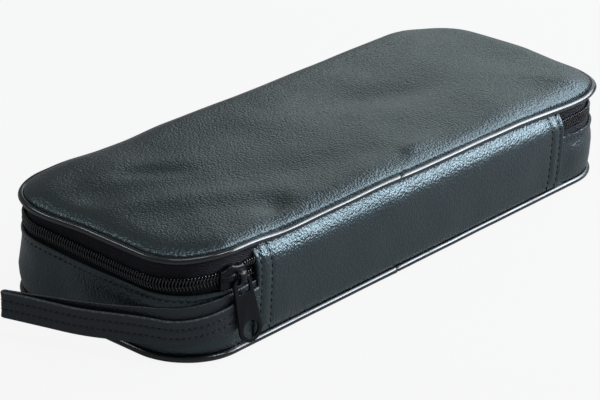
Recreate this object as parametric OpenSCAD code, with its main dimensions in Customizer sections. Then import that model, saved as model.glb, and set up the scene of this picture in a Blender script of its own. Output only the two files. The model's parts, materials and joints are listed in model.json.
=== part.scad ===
// Soft zipped case for drafting instruments: a shallow rounded box of sewn leatherette with
// piped edges, a zip round three sides, a fabric-hinged lid and a folded wrist strap.
// Frame: X along the length, -Y the spine that the lid turns on, +Z up,
// origin at the middle of the underside.

/* [Case] */
// Length over the middle of the piping
case_length = 312; // [260:1:400]
// Width over the middle of the piping
case_width = 119; // [90:1:160]
// Radius of the four corners, at the middle of the piping
corner_radius = 28.5; // [24:0.5:34]
// Height of the middle of the lid's piping, which is also the lid's turning line
lid_seam_z = 47.3; // [45.3:0.5:60.3]
// How far the padded lid rises above its piping flange
lid_rise = 5.2; // [4:0.2:8]

/* [Sheets] */
// Thickness of the leatherette
skin_t = 1.2; // [0.8:0.1:1.6]
// Thickness of the lining cloth
lining_t = 0.8; // [0.4:0.1:1.2]
// Thickness of the stiffening boards
board_t = 1.4; // [1:0.1:2]
// How far the wall's outer face lies inside the middle of the piping
wall_inset = 0.3; // [0:0.1:1]
// How far the boards of the lid stay inside the middle of the piping
lid_board_inset = 6; // [5:0.5:12]

/* [Piping] */
// Diameter of the piping bead
bead_d = 3; // [2:0.2:3.6]
// Thickness of the sewn piping flange
flange_t = 1; // [0.6:0.1:1.4]
// Width of the sewn piping flange, from the middle of the bead
flange_w = 6.5; // [6.5:0.5:10]

/* [Spine] */
// Straight stretch of the front between the slider's corner and the seam next to it
near_seam_run = 12; // [11.5:0.5:25]
// Straight stretch of the front between the far seam and its corner
far_seam_run = 17.5; // [15.5:0.5:27]
// Width of the turned hem at each seam
hem_w = 10; // [8:0.5:14]
// How far the ends of wall and tape are tucked under the hems
tuck = 3; // [2:0.5:5]

/* [Zip] */
// Height of the zip's middle line
zip_z = 37.5; // [37:0.1:38]
// Top of the folded edge of the wall below the zip
band_top_z = 31.5; // [28:0.5:31.5]
// Thickness of the woven tape
tape_t = 0.7; // [0.5:0.1:1]
// Width of one row of coil
coil_w = 2.7; // [2.4:0.1:3]
// Thickness of the coil
coil_t = 2; // [1.6:0.1:2.4]
// Gap between the two rows of coil, where the slider's post runs
coil_gap = 1.4; // [1.2:0.1:1.6]
// How far the lower tape reaches down behind the wall's folded edge
tape_reach = 3; // [2:0.5:6]
// Arc of upper tape round the corner that stays with the base, in degrees
tail_arc = 24; // [22:1:30]
// Length of upper tape that stays with the base past the far seam
far_tail = 6; // [4:0.5:10]
// Clearance between parts that move past each other
run_gap = 0.4; // [0.3:0.05:0.5]

/* [Slider] */
// Thickness of the slider's two plates
plate_t = 1.2; // [1:0.1:1.5]
// Height of the slider across the zip
slider_h = 9.8; // [9.6:0.1:10.2]
// Arc of the slider ahead of the bail, in degrees
slider_front_arc = 18.5; // [14:0.5:19]
// Arc of the slider behind the bail, in degrees
slider_back_arc = 8.5; // [6:0.5:8.5]
// Width of the bail's strip
bail_w = 3; // [2:0.2:3.4]
// Thickness of the bail's strip
bail_t = 1; // [0.8:0.1:1.2]
// Height of the opening under the bail
bail_hole_h = 4.8; // [4.6:0.1:5.2]

/* [Pull tab] */
// Length of the tab
tab_length = 33.5; // [28:0.5:34]
// Width of the tab at the top
tab_top_w = 9.6; // [9:0.2:11]
// Width of the tab at its rounded end
tab_end_w = 12.4; // [11:0.2:13]
// Thickness of the tab
tab_t = 1.2; // [1:0.1:1.3]
// Length of the window that the bail stands in
tab_window_h = 5.8; // [5.6:0.1:7]
// Width of that window
tab_window_w = 6.4; // [5.6:0.2:6.6]
// Diameter of the round hole in the tab's end
tab_hole_d = 8.6; // [6:0.2:9]
// How far the hanging tab leans along the zip, in degrees
tab_lean = 14.5; // [0:0.5:16]
// How far the hanging tab stands out over the strap, in degrees
tab_out = 4.5; // [4:0.5:10]

/* [Strap] */
// Width of the doubled strap
strap_w = 12.5; // [10:0.5:14]
// Thickness of one leg of the strap
strap_t = 1.4; // [1:0.1:1.5]
// Gap between the strap's two legs
strap_gap = 0.3; // [0.2:0.05:0.5]
// Height of the outer leg's lower edge
strap_z = 9.5; // [6:0.5:11]
// How much higher the inner leg lies
strap_step = 4.5; // [2:0.5:5]
// Place round the corner where the strap leaves the wall, in degrees
strap_fold_arc = 66; // [50:1:70]
// Length of the free strap from there to the end of its loop
strap_free = 72; // [50:1:100]

/* [Hidden] */

$fn = 96;
eps = 0.01;
far_out = 400;

// Middle of the corner that the slider runs round
axis_x = -case_length / 2 + corner_radius;
axis_y = -case_width / 2 + corner_radius;
near_x = axis_x + near_seam_run;
far_x = -axis_x - far_seam_run;

// Layers of the wall, as insets from the middle of the piping
spine_out = wall_inset - skin_t;
tape_inset = wall_inset + skin_t;
lining_inset = tape_inset + tape_t;
inner_inset = lining_inset + lining_t;
coil_out = tape_inset - coil_t;

// Layers of the base, upwards
base_flange_z = skin_t;
base_board_z = base_flange_z + flange_t;
base_lining_z = base_board_z + board_t;
base_bead_z = base_flange_z + flange_t / 2;
seat_gap = 0.1;
wall_z = base_bead_z + bead_d / 2 + seat_gap;
spine_top_z = lid_seam_z - bead_d / 2 - 0.3;

// Layers of the lid
lid_flange_z = lid_seam_z - flange_t / 2;
lid_skin_z = lid_flange_z + flange_t;
lid_board_z = lid_flange_z - board_t;
lid_lining_z = lid_board_z - lining_t;
lid_edge_inset = bead_d / 2;

// Zip
tape_gap = coil_gap - 0.2;
lower_tape_z = band_top_z - tape_reach;
lower_coil_z = zip_z - coil_gap / 2 - coil_w;
upper_coil_z = zip_z + coil_gap / 2;
split_gap = 0.3;
near_end_x = near_x + tuck;
far_end_x = far_x - tuck;
tail_end_x = far_x + far_tail;

// Slider, as radii round the corner's middle
coil_r = corner_radius - coil_out;
outer_plate_r = coil_r + run_gap;
inner_plate_r = corner_radius - lining_inset - run_gap - plate_t;
slider_lip_r = corner_radius - tape_inset + run_gap;
lip_t = slider_h / 2 - coil_w - coil_gap / 2 - run_gap - 0.1;
post_arc = 5;
post_h = coil_gap / 2;
bail_foot_r = outer_plate_r + plate_t;
pivot_room = 0.3;
bar_room = 0.1;
bail_clear = tab_t + 2 * pivot_room;
pivot_r = bail_foot_r + bail_clear / 2;
bar_reach = tab_t / sqrt(2) / cos(tab_lean) + bail_w / 2 * tan(tab_lean);
pivot_z = zip_z - bail_hole_h / 2 + bar_reach + bar_room;

// Strap, as radii round the corner's middle
strap_in_r = corner_radius - wall_inset + 0.3;
strap_mid_r = strap_in_r + strap_t + strap_gap / 2;
strap_out_r = strap_mid_r + strap_gap / 2;
fold_r = strap_t + strap_gap / 2;
fold_gap_arc = (fold_r + 0.35) / strap_mid_r * 180 / PI;
strap_high_z = strap_z + strap_step;

leatherette = "#1d2023";
lining_cloth = "#2a2b2e";
card = "#8a7a62";
foam = "#5b5d60";
tape_black = "#101113";
coil_black = "#17181a";
enamel = "#0c0d0e";

// Rounded rectangle that lies a set distance inside the middle of the piping
module outline(inset) {
    l = case_length - 2 * inset;
    w = case_width - 2 * inset;
    r = corner_radius - inset;
    square([l, w - 2 * r], center = true);
    square([l - 2 * r, w], center = true);
    for (sx = [-1, 1], sy = [-1, 1])
        translate([sx * (l / 2 - r), sy * (w / 2 - r)])
            circle(r);
}

module slab(inset, z, t) {
    translate([0, 0, z])
        linear_extrude(t)
            outline(inset);
}

module ring_outline(outer, inner) {
    difference() {
        outline(outer);
        outline(inner);
    }
}

// Upright strip along the front, between two places along the length
module front_strip(x0, x1, outer, inner, z0, z1) {
    translate([x0, -case_width / 2 + outer, z0])
        cube([x1 - x0, inner - outer, z1 - z0]);
}

// Upright wall round three sides, open along the front between two places
module open_ring(outer, inner, z0, z1, x0, x1) {
    difference() {
        translate([0, 0, z0])
            linear_extrude(z1 - z0)
                ring_outline(outer, inner);
        translate([x0, -far_out, z0 - 1])
            cube([x1 - x0, far_out, z1 - z0 + 2]);
    }
}

// A profile drawn as radius and height, carried round the whole outline
module all_round() {
    half = [-axis_x, -axis_y];
    for (k = [0:3])
        rotate([0, 0, 90 * k])
            translate([half[k % 2], half[(k + 1) % 2], 0]) {
                rotate([90, 0, 0])
                    linear_extrude(2 * half[(k + 1) % 2])
                        children();
                rotate_extrude(angle = 90)
                    children();
            }
}

// Part of a revolved profile round the slider's corner, from one arc to another,
// counted from the front towards the left end
module corner_arc(arc0, arc1) {
    translate([axis_x, axis_y, 0])
        rotate([0, 0, -90 - arc1])
            rotate_extrude(angle = arc1 - arc0)
                children();
}

module wedge(arc) {
    translate([axis_x, axis_y])
        polygon([
            [0, 0],
            [0, -far_out],
            [-far_out * tan(arc), -far_out]
        ]);
}

// Plan of the stretches of upper tape and coil that stay with the base
module tail_zone(margin, near_end, far_end) {
    wedge(tail_arc + margin);
    translate([axis_x - eps, -far_out])
        square([near_end - axis_x + eps, far_out]);
    translate([far_end, -far_out])
        square([tail_end_x + margin * split_gap - far_end, far_out]);
}

module piping(flange_z) {
    all_round() {
        translate([corner_radius, flange_z + flange_t / 2])
            circle(bead_d / 2);
        translate([corner_radius - flange_w, flange_z])
            square([flange_w, flange_t]);
    }
}

// Padded shape of the lid: flat on top, its edge a quarter round
module pillow(inset, z, rise) {
    edge_r = corner_radius - inset - rise;
    all_round()
        intersection() {
            translate([edge_r, z])
                circle(rise);
            translate([edge_r, z])
                square(rise);
        }
    slab(inset + rise, z, rise);
}

module base_panel() {
    color(leatherette)
        slab(lid_edge_inset, 0, skin_t);
}

module base_piping() {
    color(leatherette)
        piping(base_flange_z);
}

module base_foam() {
    color(foam)
        slab(flange_w, base_flange_z, flange_t);
}

module base_board() {
    color(card)
        slab(lining_inset, base_board_z, board_t);
}

module base_lining() {
    color(lining_cloth)
        slab(inner_inset, base_lining_z, lining_t);
}

module wall_band() {
    color(leatherette)
        open_ring(wall_inset, tape_inset, wall_z, band_top_z, near_end_x, far_end_x);
}

module wall_board() {
    color(card)
        open_ring(tape_inset, lining_inset, base_board_z, lower_tape_z, near_end_x, far_end_x);
}

module wall_lining() {
    color(lining_cloth)
        open_ring(lining_inset, inner_inset, base_lining_z, band_top_z,
            near_x + hem_w, far_x - hem_w);
}

module lower_zip_tape() {
    color(tape_black)
        open_ring(tape_inset, lining_inset, lower_tape_z, zip_z - tape_gap / 2,
            near_end_x, far_end_x);
}

module lower_zip_coil() {
    color(coil_black)
        open_ring(coil_out, tape_inset, lower_coil_z, lower_coil_z + coil_w,
            near_x - 0.2, far_x + 0.2);
}

module upper_tape_tails() {
    color(tape_black)
        translate([0, 0, zip_z + tape_gap / 2])
            linear_extrude(lid_flange_z - run_gap - zip_z - tape_gap / 2)
                intersection() {
                    ring_outline(tape_inset, lining_inset);
                    tail_zone(0, near_end_x, far_end_x);
                }
}

module upper_coil_tails() {
    color(coil_black)
        translate([0, 0, upper_coil_z])
            linear_extrude(coil_w)
                intersection() {
                    ring_outline(coil_out, tape_inset);
                    tail_zone(0, near_x - 0.2, far_x + 0.2);
                }
}

module spine_panel() {
    color(leatherette)
        front_strip(near_x, far_x, spine_out, wall_inset, wall_z, spine_top_z);
}

module near_hem() {
    color(leatherette)
        front_strip(near_end_x, near_x + hem_w, wall_inset, lining_inset, wall_z, spine_top_z);
}

module far_hem() {
    color(leatherette)
        front_strip(far_x - hem_w, far_end_x, wall_inset, lining_inset, wall_z, spine_top_z);
}

module spine_board() {
    color(card)
        front_strip(near_x + hem_w, far_x - hem_w, wall_inset, lining_inset, wall_z, spine_top_z);
}

module spine_lining() {
    color(lining_cloth)
        front_strip(near_x + hem_w, far_x - hem_w, lining_inset, inner_inset,
            base_lining_z, spine_top_z);
}

// The two legs of the strap from the seam round to the corner, joined where they are sewn in
module strap_root() {
    stop_arc = strap_fold_arc - fold_gap_arc;
    legs = [[strap_in_r, strap_high_z], [strap_out_r, strap_z]];
    color(leatherette) {
        for (leg = legs) {
            corner_arc(0, stop_arc)
                translate([leg[0], leg[1]])
                    square([strap_t, strap_w]);
            translate([axis_x, axis_y - leg[0] - strap_t, leg[1]])
                cube([near_x - axis_x, strap_t, strap_w]);
        }
        translate([near_x - 2, axis_y - strap_out_r - strap_t, strap_high_z])
            cube([2, strap_out_r + strap_t - strap_in_r, strap_w - strap_step]);
    }
}

// The free end of the strap: two legs and the turned end, folded at the corner
module strap_loop() {
    color(leatherette)
        translate([axis_x, axis_y, 0])
            rotate([0, 0, -90 - strap_fold_arc])
                translate([strap_mid_r, 0, 0])
                    rotate([0, 0, -90])
                        strap_plan();
}

// Strap along +X from the fold, its outer leg on the +Y side
module strap_plan() {
    translate([0, 0, strap_z])
        cylinder(r = fold_r, h = strap_w + strap_step);
    translate([0, strap_gap / 2, strap_z])
        cube([strap_free, strap_t, strap_w]);
    translate([0, -strap_gap / 2, 0])
        rotate([90, 0, 0])
            linear_extrude(strap_t)
                polygon([
                    [0, strap_high_z],
                    [strap_free, strap_z],
                    [strap_free, strap_z + strap_w],
                    [0, strap_high_z + strap_w]
                ]);
    translate([strap_free, 0, strap_z])
        cylinder(r = fold_r, h = strap_w);
}

module lid_panel() {
    color(leatherette)
        difference() {
            pillow(lid_edge_inset, lid_skin_z, lid_rise);
            pillow(lid_edge_inset + skin_t, lid_skin_z, lid_rise - skin_t);
        }
}

module lid_foam() {
    color(foam) {
        pillow(lid_edge_inset + skin_t, lid_skin_z, lid_rise - skin_t);
        slab(flange_w, lid_flange_z, flange_t);
    }
}

module lid_board() {
    color(card)
        slab(lid_board_inset, lid_board_z, board_t);
}

module lid_lining() {
    color(lining_cloth)
        slab(lid_board_inset, lid_lining_z, lining_t);
}

module lid_piping() {
    color(leatherette)
        piping(lid_flange_z);
}

module upper_zip_tape() {
    color(tape_black)
        translate([0, 0, zip_z + tape_gap / 2])
            linear_extrude(lid_flange_z - zip_z - tape_gap / 2)
                difference() {
                    ring_outline(tape_inset, lining_inset);
                    tail_zone(1, near_end_x, near_end_x);
                }
}

module upper_zip_coil() {
    color(coil_black)
        translate([0, 0, upper_coil_z])
            linear_extrude(coil_w)
                difference() {
                    ring_outline(coil_out, tape_inset);
                    tail_zone(1, near_end_x, near_end_x);
                }
}

// Slider: two curved plates joined by a post, lips over the coil and a bail on the outside
module zip_slider() {
    low_z = zip_z - slider_h / 2;
    color(enamel) {
        corner_arc(-slider_back_arc, slider_front_arc) {
            translate([outer_plate_r, low_z])
                square([plate_t, slider_h]);
            for (lip_z = [low_z, low_z + slider_h - lip_t])
                translate([slider_lip_r, lip_z])
                    square([outer_plate_r - slider_lip_r + eps, lip_t]);
            translate([inner_plate_r, low_z])
                square([plate_t, slider_h]);
        }
        corner_arc(-slider_back_arc, post_arc - slider_back_arc)
            translate([inner_plate_r, zip_z - post_h / 2])
                square([outer_plate_r - inner_plate_r + eps, post_h]);
        bail();
    }
}

module bail() {
    foot = 0.4;
    outer_h = bail_hole_h + 2 * bail_t;
    translate([axis_x - bail_w / 2, axis_y - bail_foot_r, zip_z])
        difference() {
            translate([0, -bail_clear - bail_t, -outer_h / 2])
                cube([bail_w, bail_clear + bail_t + foot, outer_h]);
            translate([-1, -bail_clear, -bail_hole_h / 2])
                cube([bail_w + 2, bail_clear + foot + 1, bail_hole_h]);
        }
}

// Flat tab hanging from the bail by the bar above its window
module pull_tab() {
    color(enamel)
        translate([axis_x, axis_y - pivot_r, pivot_z])
            rotate([0, -tab_lean, 0])
                rotate([90 - tab_out, 0, 0])
                    linear_extrude(tab_t, center = true)
                        tab_outline();
}

module tab_outline() {
    top = tab_t / 2;
    end_r = tab_end_w / 2;
    end_y = top - tab_length + end_r;
    difference() {
        union() {
            polygon([
                [-tab_top_w / 2, top],
                [-end_r, end_y],
                [end_r, end_y],
                [tab_top_w / 2, top]
            ]);
            translate([0, end_y])
                circle(end_r);
        }
        translate([-tab_window_w / 2, top - tab_t - tab_window_h])
            square([tab_window_w, tab_window_h]);
        translate([0, end_y])
            circle(tab_hole_d / 2);
    }
}

base_panel();
base_piping();
base_foam();
base_board();
base_lining();
wall_band();
wall_board();
wall_lining();
lower_zip_tape();
lower_zip_coil();
upper_tape_tails();
upper_coil_tails();
spine_panel();
near_hem();
far_hem();
spine_board();
spine_lining();
strap_root();
lid_panel();
lid_foam();
lid_board();
lid_lining();
lid_piping();
upper_zip_tape();
upper_zip_coil();
zip_slider();
pull_tab();
strap_loop();
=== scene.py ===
"""A soft zipped case for drafting instruments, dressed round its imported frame.

Lengths are in millimetres until a mesh is made. A place on the case's outline is given by its run,
counted from the slider's corner round the left end, and by how far out it lies.
"""

import json
import logging
import math
from dataclasses import dataclass, field
from enum import Enum

import bmesh
import bpy
import numpy as np
from mathutils import Matrix, Vector

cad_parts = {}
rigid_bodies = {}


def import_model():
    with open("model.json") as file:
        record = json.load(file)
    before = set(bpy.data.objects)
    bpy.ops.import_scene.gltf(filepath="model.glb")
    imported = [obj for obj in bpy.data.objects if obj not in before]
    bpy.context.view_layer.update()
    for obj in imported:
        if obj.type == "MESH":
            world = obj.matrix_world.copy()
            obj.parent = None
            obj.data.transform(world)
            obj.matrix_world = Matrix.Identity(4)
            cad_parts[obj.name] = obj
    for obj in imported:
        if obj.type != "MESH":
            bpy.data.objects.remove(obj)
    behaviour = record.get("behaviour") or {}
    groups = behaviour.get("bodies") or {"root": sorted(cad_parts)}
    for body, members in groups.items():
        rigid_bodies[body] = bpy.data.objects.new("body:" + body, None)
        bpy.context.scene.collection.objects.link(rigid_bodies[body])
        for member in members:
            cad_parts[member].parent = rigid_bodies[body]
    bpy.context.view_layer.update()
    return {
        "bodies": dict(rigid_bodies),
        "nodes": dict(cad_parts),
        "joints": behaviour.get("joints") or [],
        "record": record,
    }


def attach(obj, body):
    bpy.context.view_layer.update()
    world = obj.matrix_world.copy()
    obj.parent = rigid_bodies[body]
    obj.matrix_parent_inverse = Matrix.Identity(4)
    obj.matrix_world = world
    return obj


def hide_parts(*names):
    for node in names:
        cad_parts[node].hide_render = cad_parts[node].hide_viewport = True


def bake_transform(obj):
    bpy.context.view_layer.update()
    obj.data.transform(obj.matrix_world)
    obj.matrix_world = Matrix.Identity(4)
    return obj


LOG = logging.getLogger("case")
MM = 0.001
Array = np.ndarray


# ---------------------------------------------------------------- shader helpers


class Signal:
    """A number in a shader. Sums on it add Math nodes to its tree."""

    def __init__(self, tree: bpy.types.NodeTree, socket: bpy.types.NodeSocket) -> None:
        """Wraps one output socket of a tree."""
        self.tree = tree
        self.socket = socket

    def apply(self, operation: str, other: "Signal | float" = 0.0, swapped: bool = False) -> "Signal":
        """Adds one Math node.

        Args:
            operation: The node's operation.
            other: The second value, where the operation has one.
            swapped: Whether the other value comes first.

        Returns:
            The node's result.
        """
        node = self.tree.nodes.new("ShaderNodeMath")
        node.operation = operation
        values = (other, self) if swapped else (self, other)
        for socket, value in zip(node.inputs, values):
            if isinstance(value, Signal):
                self.tree.links.new(value.socket, socket)
            else:
                socket.default_value = value
        return Signal(self.tree, node.outputs[0])

    def __add__(self, other: "Signal | float") -> "Signal":
        """Sum."""
        return self.apply("ADD", other)

    __radd__ = __add__

    def __sub__(self, other: "Signal | float") -> "Signal":
        """Difference."""
        return self.apply("SUBTRACT", other)

    def __rsub__(self, other: "Signal | float") -> "Signal":
        """Difference, the other way round."""
        return self.apply("SUBTRACT", other, swapped=True)

    def __mul__(self, other: "Signal | float") -> "Signal":
        """Product."""
        return self.apply("MULTIPLY", other)

    __rmul__ = __mul__

    def __pow__(self, other: "Signal | float") -> "Signal":
        """Power."""
        return self.apply("POWER", other)


class Nodes:
    """A node tree and the one way to add a node to it."""

    def __init__(self, tree: bpy.types.NodeTree) -> None:
        """Wraps a tree."""
        self.tree = tree

    def node(self, kind: str, settings: dict | None = None, sockets: dict | None = None) -> bpy.types.Node:
        """Adds any node.

        Args:
            kind: The node's type.
            settings: Its settings, such as its operation or data type.
            sockets: Values, sockets or signals for its inputs, by name or number.

        Returns:
            The node.
        """
        node = self.tree.nodes.new(kind)
        for key, value in (settings or {}).items():
            setattr(node, key, value)
        for key, value in (sockets or {}).items():
            self.feed(node.inputs[key], value)
        return node

    def feed(self, socket: bpy.types.NodeSocket, value: object) -> None:
        """Links or sets one input.

        Args:
            socket: The input.
            value: A signal, a socket or a plain value.
        """
        if isinstance(value, Signal):
            self.tree.links.new(value.socket, socket)
        elif isinstance(value, bpy.types.NodeSocket):
            self.tree.links.new(value, socket)
        else:
            socket.default_value = value

    def signal(self, kind: str, settings: dict | None = None, sockets: dict | None = None,
               output: str | int = 0) -> Signal:
        """Adds a node and gives one output as a signal."""
        return Signal(self.tree, self.node(kind, settings, sockets).outputs[output])


class Recipe(Nodes):
    """One material and the nodes that feed its shader."""

    def __init__(self, name: str) -> None:
        """Starts a material with a bare Principled shader."""
        self.material = bpy.data.materials.new(name)
        self.material.use_nodes = True
        super().__init__(self.material.node_tree)
        self.shader = self.tree.nodes["Principled BSDF"]

    def place(self, source: "Source") -> bpy.types.NodeSocket:
        """Adds the texture coordinates.

        Args:
            source: Where the pattern is laid out.

        Returns:
            The coordinates' socket, in metres.
        """
        if source is Source.SOLID:
            return self.node("ShaderNodeTexCoord").outputs["Object"]
        return self.node("ShaderNodeAttribute", {"attribute_name": "place"}).outputs["Vector"]

    def noise(self, place: bpy.types.NodeSocket, size: float, detail: float = 3.0) -> Signal:
        """Noise whose patches are about size millimetres wide."""
        sockets = {"Vector": place, "Scale": 1 / (size * MM), "Detail": detail}
        return self.signal("ShaderNodeTexNoise", None, sockets, "Fac")

    def cells(self, place: bpy.types.NodeSocket, size: float, smooth: float = 0.35) -> Signal:
        """Adds rounded cells.

        Args:
            place: The coordinates.
            size: Width of a cell, in millimetres.
            smooth: How far cells run into each other.

        Returns:
            A signal: 0 in the middle of a cell, larger at its edge.
        """
        settings = {"feature": "SMOOTH_F1"}
        sockets = {"Vector": place, "Scale": 1 / (size * MM), "Smoothness": smooth}
        return self.signal("ShaderNodeTexVoronoi", settings, sockets, "Distance")

    def tint(self, amount: Signal, low: tuple, high: tuple) -> bpy.types.NodeSocket:
        """A colour between two, by a signal from 0 to 1."""
        sockets = {0: amount, 6: (*low, 1.0), 7: (*high, 1.0)}
        return self.node("ShaderNodeMix", {"data_type": "RGBA"}, sockets).outputs[2]

    def bump(self, height: Signal, depth: float, strength: float,
             under: bpy.types.NodeSocket | None = None) -> bpy.types.NodeSocket:
        """Adds a bump.

        Args:
            height: The relief.
            depth: How deep it is, in millimetres.
            strength: The share of it that is used.
            under: A bump that it lies on, if any.

        Returns:
            The bumped normal.
        """
        sockets = {"Height": height, "Distance": depth * MM, "Strength": strength}
        if under is not None:
            sockets["Normal"] = under
        return self.node("ShaderNodeBump", None, sockets).outputs["Normal"]

    def surface(self, **sockets: object) -> bpy.types.Material:
        """Sets the shader's inputs; underscores in the names stand for spaces.

        Args:
            sockets: Values or links of the Principled shader.

        Returns:
            The material.
        """
        for key, value in sockets.items():
            self.feed(self.shader.inputs[key.replace("_", " ")], value)
        return self.material


class Source(Enum):
    """Where a material's pattern is laid out."""

    PIECE = "piece"
    SOLID = "solid"


# ---------------------------------------------------------------- finishes


@dataclass(frozen=True)
class PebbledSkin:
    """Leatherette with a fine pebble grain and a broad, uneven sheen."""

    name: str = "leatherette"
    grain: float = 1.05
    depth: float = 0.29
    roughness: float = 0.28
    dark: tuple = (0.0050, 0.0063, 0.0072)
    light: tuple = (0.0098, 0.0118, 0.0128)
    gloss: tuple = (0.70, 0.93, 1.0)

    def material(self) -> bpy.types.Material:
        """Builds the material."""
        r = Recipe(self.name)
        place = r.place(Source.PIECE)
        pebbles = r.cells(place, self.grain)
        pores = r.noise(place, self.grain * 0.45, 2)
        patches = r.noise(place, 38, 4)
        creases = r.noise(place, 9, 5)
        soft = r.bump(creases, 0.55, 0.28)
        grain = r.bump(1 - pebbles * 1.2 + pores * 0.22, self.depth, 0.62, soft)
        wear = r.noise(place, 5.5, 6) ** 2.0
        return r.surface(
            Base_Color=r.tint(patches * 0.6 + pebbles * 0.5, self.light, self.dark),
            Roughness=self.roughness - 0.04 + patches * 0.10 + wear * 0.07 + pebbles * 0.05,
            Specular_Tint=(*self.gloss, 1.0),
            IOR=1.75,
            Normal=grain,
        )


@dataclass(frozen=True)
class VinylPiping:
    """Smooth glossy vinyl with a faint pull where it was sewn."""

    name: str = "piping"

    def material(self) -> bpy.types.Material:
        """Builds the material."""
        r = Recipe(self.name)
        place = r.place(Source.PIECE)
        pull = r.noise(place, 7, 3)
        fine = r.noise(place, 1.3, 3)
        scuff = r.noise(place, 16, 5) ** 3.0
        return r.surface(
            Base_Color=r.tint(pull, (0.003, 0.0035, 0.004), (0.007, 0.008, 0.009)),
            Roughness=0.13 + fine * 0.05 + scuff * 0.5,
            IOR=1.68,
            Normal=r.bump(fine, 0.05, 0.25, r.bump(pull, 0.4, 0.35)),
        )


@dataclass(frozen=True)
class WovenTape:
    """Zip tape: a close twill of dull black yarn, laid out by run and height."""

    name: str = "zip_tape"
    pitch: float = 1.15

    def material(self) -> bpy.types.Material:
        """Builds the material."""
        r = Recipe(self.name)
        place = r.place(Source.PIECE)
        parts = r.node("ShaderNodeSeparateXYZ", None, {"Vector": place})
        run, height = (Signal(r.tree, parts.outputs[i]) for i in (0, 1))
        turn = 2 * math.pi / (self.pitch * MM)
        ribs = (run * turn).apply("SINE")
        rows = (height * (turn * 1.25) + run * (turn * 0.5)).apply("SINE")
        fuzz = r.noise(place, 0.5, 3)
        weave = (ribs * rows) * 0.5 + 0.5
        return r.surface(
            Base_Color=r.tint(weave * 0.7 + fuzz * 0.3, (0.0015, 0.0015, 0.0022), (0.058, 0.055, 0.070)),
            Roughness=0.80 + fuzz * 0.12,
            Specular_IOR_Level=0.20,
            Sheen_Weight=0.05,
            Sheen_Roughness=0.4,
            Normal=r.bump(weave * 0.8 + fuzz * 0.4, 0.55, 1.0),
        )


@dataclass(frozen=True)
class NylonCoil:
    """Black nylon monofilament."""

    name: str = "zip_coil"

    def material(self) -> bpy.types.Material:
        """Builds the material."""
        r = Recipe(self.name)
        fine = r.noise(r.place(Source.PIECE), 0.8, 3)
        return r.surface(
            Base_Color=r.tint(fine, (0.006, 0.006, 0.007), (0.014, 0.014, 0.016)),
            Roughness=0.12 + fine * 0.08,
            IOR=1.75,
            Normal=r.bump(fine, 0.05, 0.3),
        )


@dataclass(frozen=True)
class SatinEnamel:
    """Satin black enamel, paler and smoother in patches along its sharp edges."""

    name: str = "enamel"

    def material(self) -> bpy.types.Material:
        """Builds the material."""
        r = Recipe(self.name)
        place = r.place(Source.PIECE)
        peel = r.noise(place, 0.7, 3)
        edge_patches = r.noise(place, 4, 6)
        edge = r.signal("ShaderNodeNewGeometry", None, None, "Pointiness")
        # Sharp edges, found by pointiness, are paler and smoother in patches.
        pale_edges = ((edge - 0.53) * 6.0 * edge_patches).apply("MAXIMUM", 0.0).apply("MINIMUM", 1.0)
        return r.surface(
            Base_Color=r.tint(pale_edges, (0.0045, 0.0055, 0.0065), (0.045, 0.048, 0.050)),
            Roughness=0.25 + peel * 0.08 - pale_edges * 0.06,
            Specular_IOR_Level=0.26,
            IOR=1.45,
            Normal=r.bump(peel, 0.06, 0.35),
        )


@dataclass(frozen=True)
class TwistedThread:
    """Black sewing thread."""

    name: str = "thread"

    def material(self) -> bpy.types.Material:
        """Builds the material."""
        r = Recipe(self.name)
        twist = r.noise(r.place(Source.PIECE), 0.35, 2)
        return r.surface(
            Base_Color=r.tint(twist, (0.003, 0.003, 0.004), (0.013, 0.014, 0.016)),
            Roughness=0.50 + twist * 0.2,
            Normal=r.bump(twist, 0.1, 0.6),
        )


@dataclass(frozen=True)
class LiningCloth:
    """Plain dark lining cloth with a fine weave."""

    name: str = "lining"

    def material(self) -> bpy.types.Material:
        """Builds the material."""
        r = Recipe(self.name)
        place = r.place(Source.PIECE)
        parts = r.node("ShaderNodeSeparateXYZ", None, {"Vector": place})
        turn = 2 * math.pi / (0.7 * MM)
        waves = [(Signal(r.tree, parts.outputs[i]) * turn).apply("SINE") for i in range(3)]
        weave = (waves[0] + waves[1] + waves[2]) * 0.17 + 0.5
        folds = r.noise(place, 26, 4)
        return r.surface(
            Base_Color=r.tint(weave * 0.5 + folds * 0.5, (0.014, 0.015, 0.018), (0.040, 0.042, 0.047)),
            Roughness=0.74 + folds * 0.12,
            Sheen_Weight=0.15,
            Normal=r.bump(weave, 0.12, 0.5, r.bump(folds, 1.2, 0.3)),
        )


@dataclass(frozen=True)
class GreyBoard:
    """Stiffening board with flecks of fibre."""

    name: str = "board"

    def material(self) -> bpy.types.Material:
        """Builds the material."""
        r = Recipe(self.name)
        place = r.place(Source.SOLID)
        fibre = r.noise(place, 1.6, 6)
        fleck = r.noise(place, 0.6, 2) ** 4.0
        return r.surface(
            Base_Color=r.tint(fibre * 0.7 + fleck, (0.26, 0.21, 0.15), (0.12, 0.10, 0.08)),
            Roughness=0.86 + fibre * 0.08,
            Normal=r.bump(fibre, 0.2, 0.4),
        )


@dataclass(frozen=True)
class SoftFoam:
    """Thin grey foam with open pores."""

    name: str = "foam"

    def material(self) -> bpy.types.Material:
        """Builds the material."""
        r = Recipe(self.name)
        place = r.place(Source.SOLID)
        pores = r.cells(place, 0.9, 0.1)
        return r.surface(
            Base_Color=r.tint(pores, (0.12, 0.12, 0.125), (0.05, 0.05, 0.055)),
            Roughness=0.88 + pores * 0.08,
            Normal=r.bump(pores, 0.5, 0.6),
        )


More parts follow.
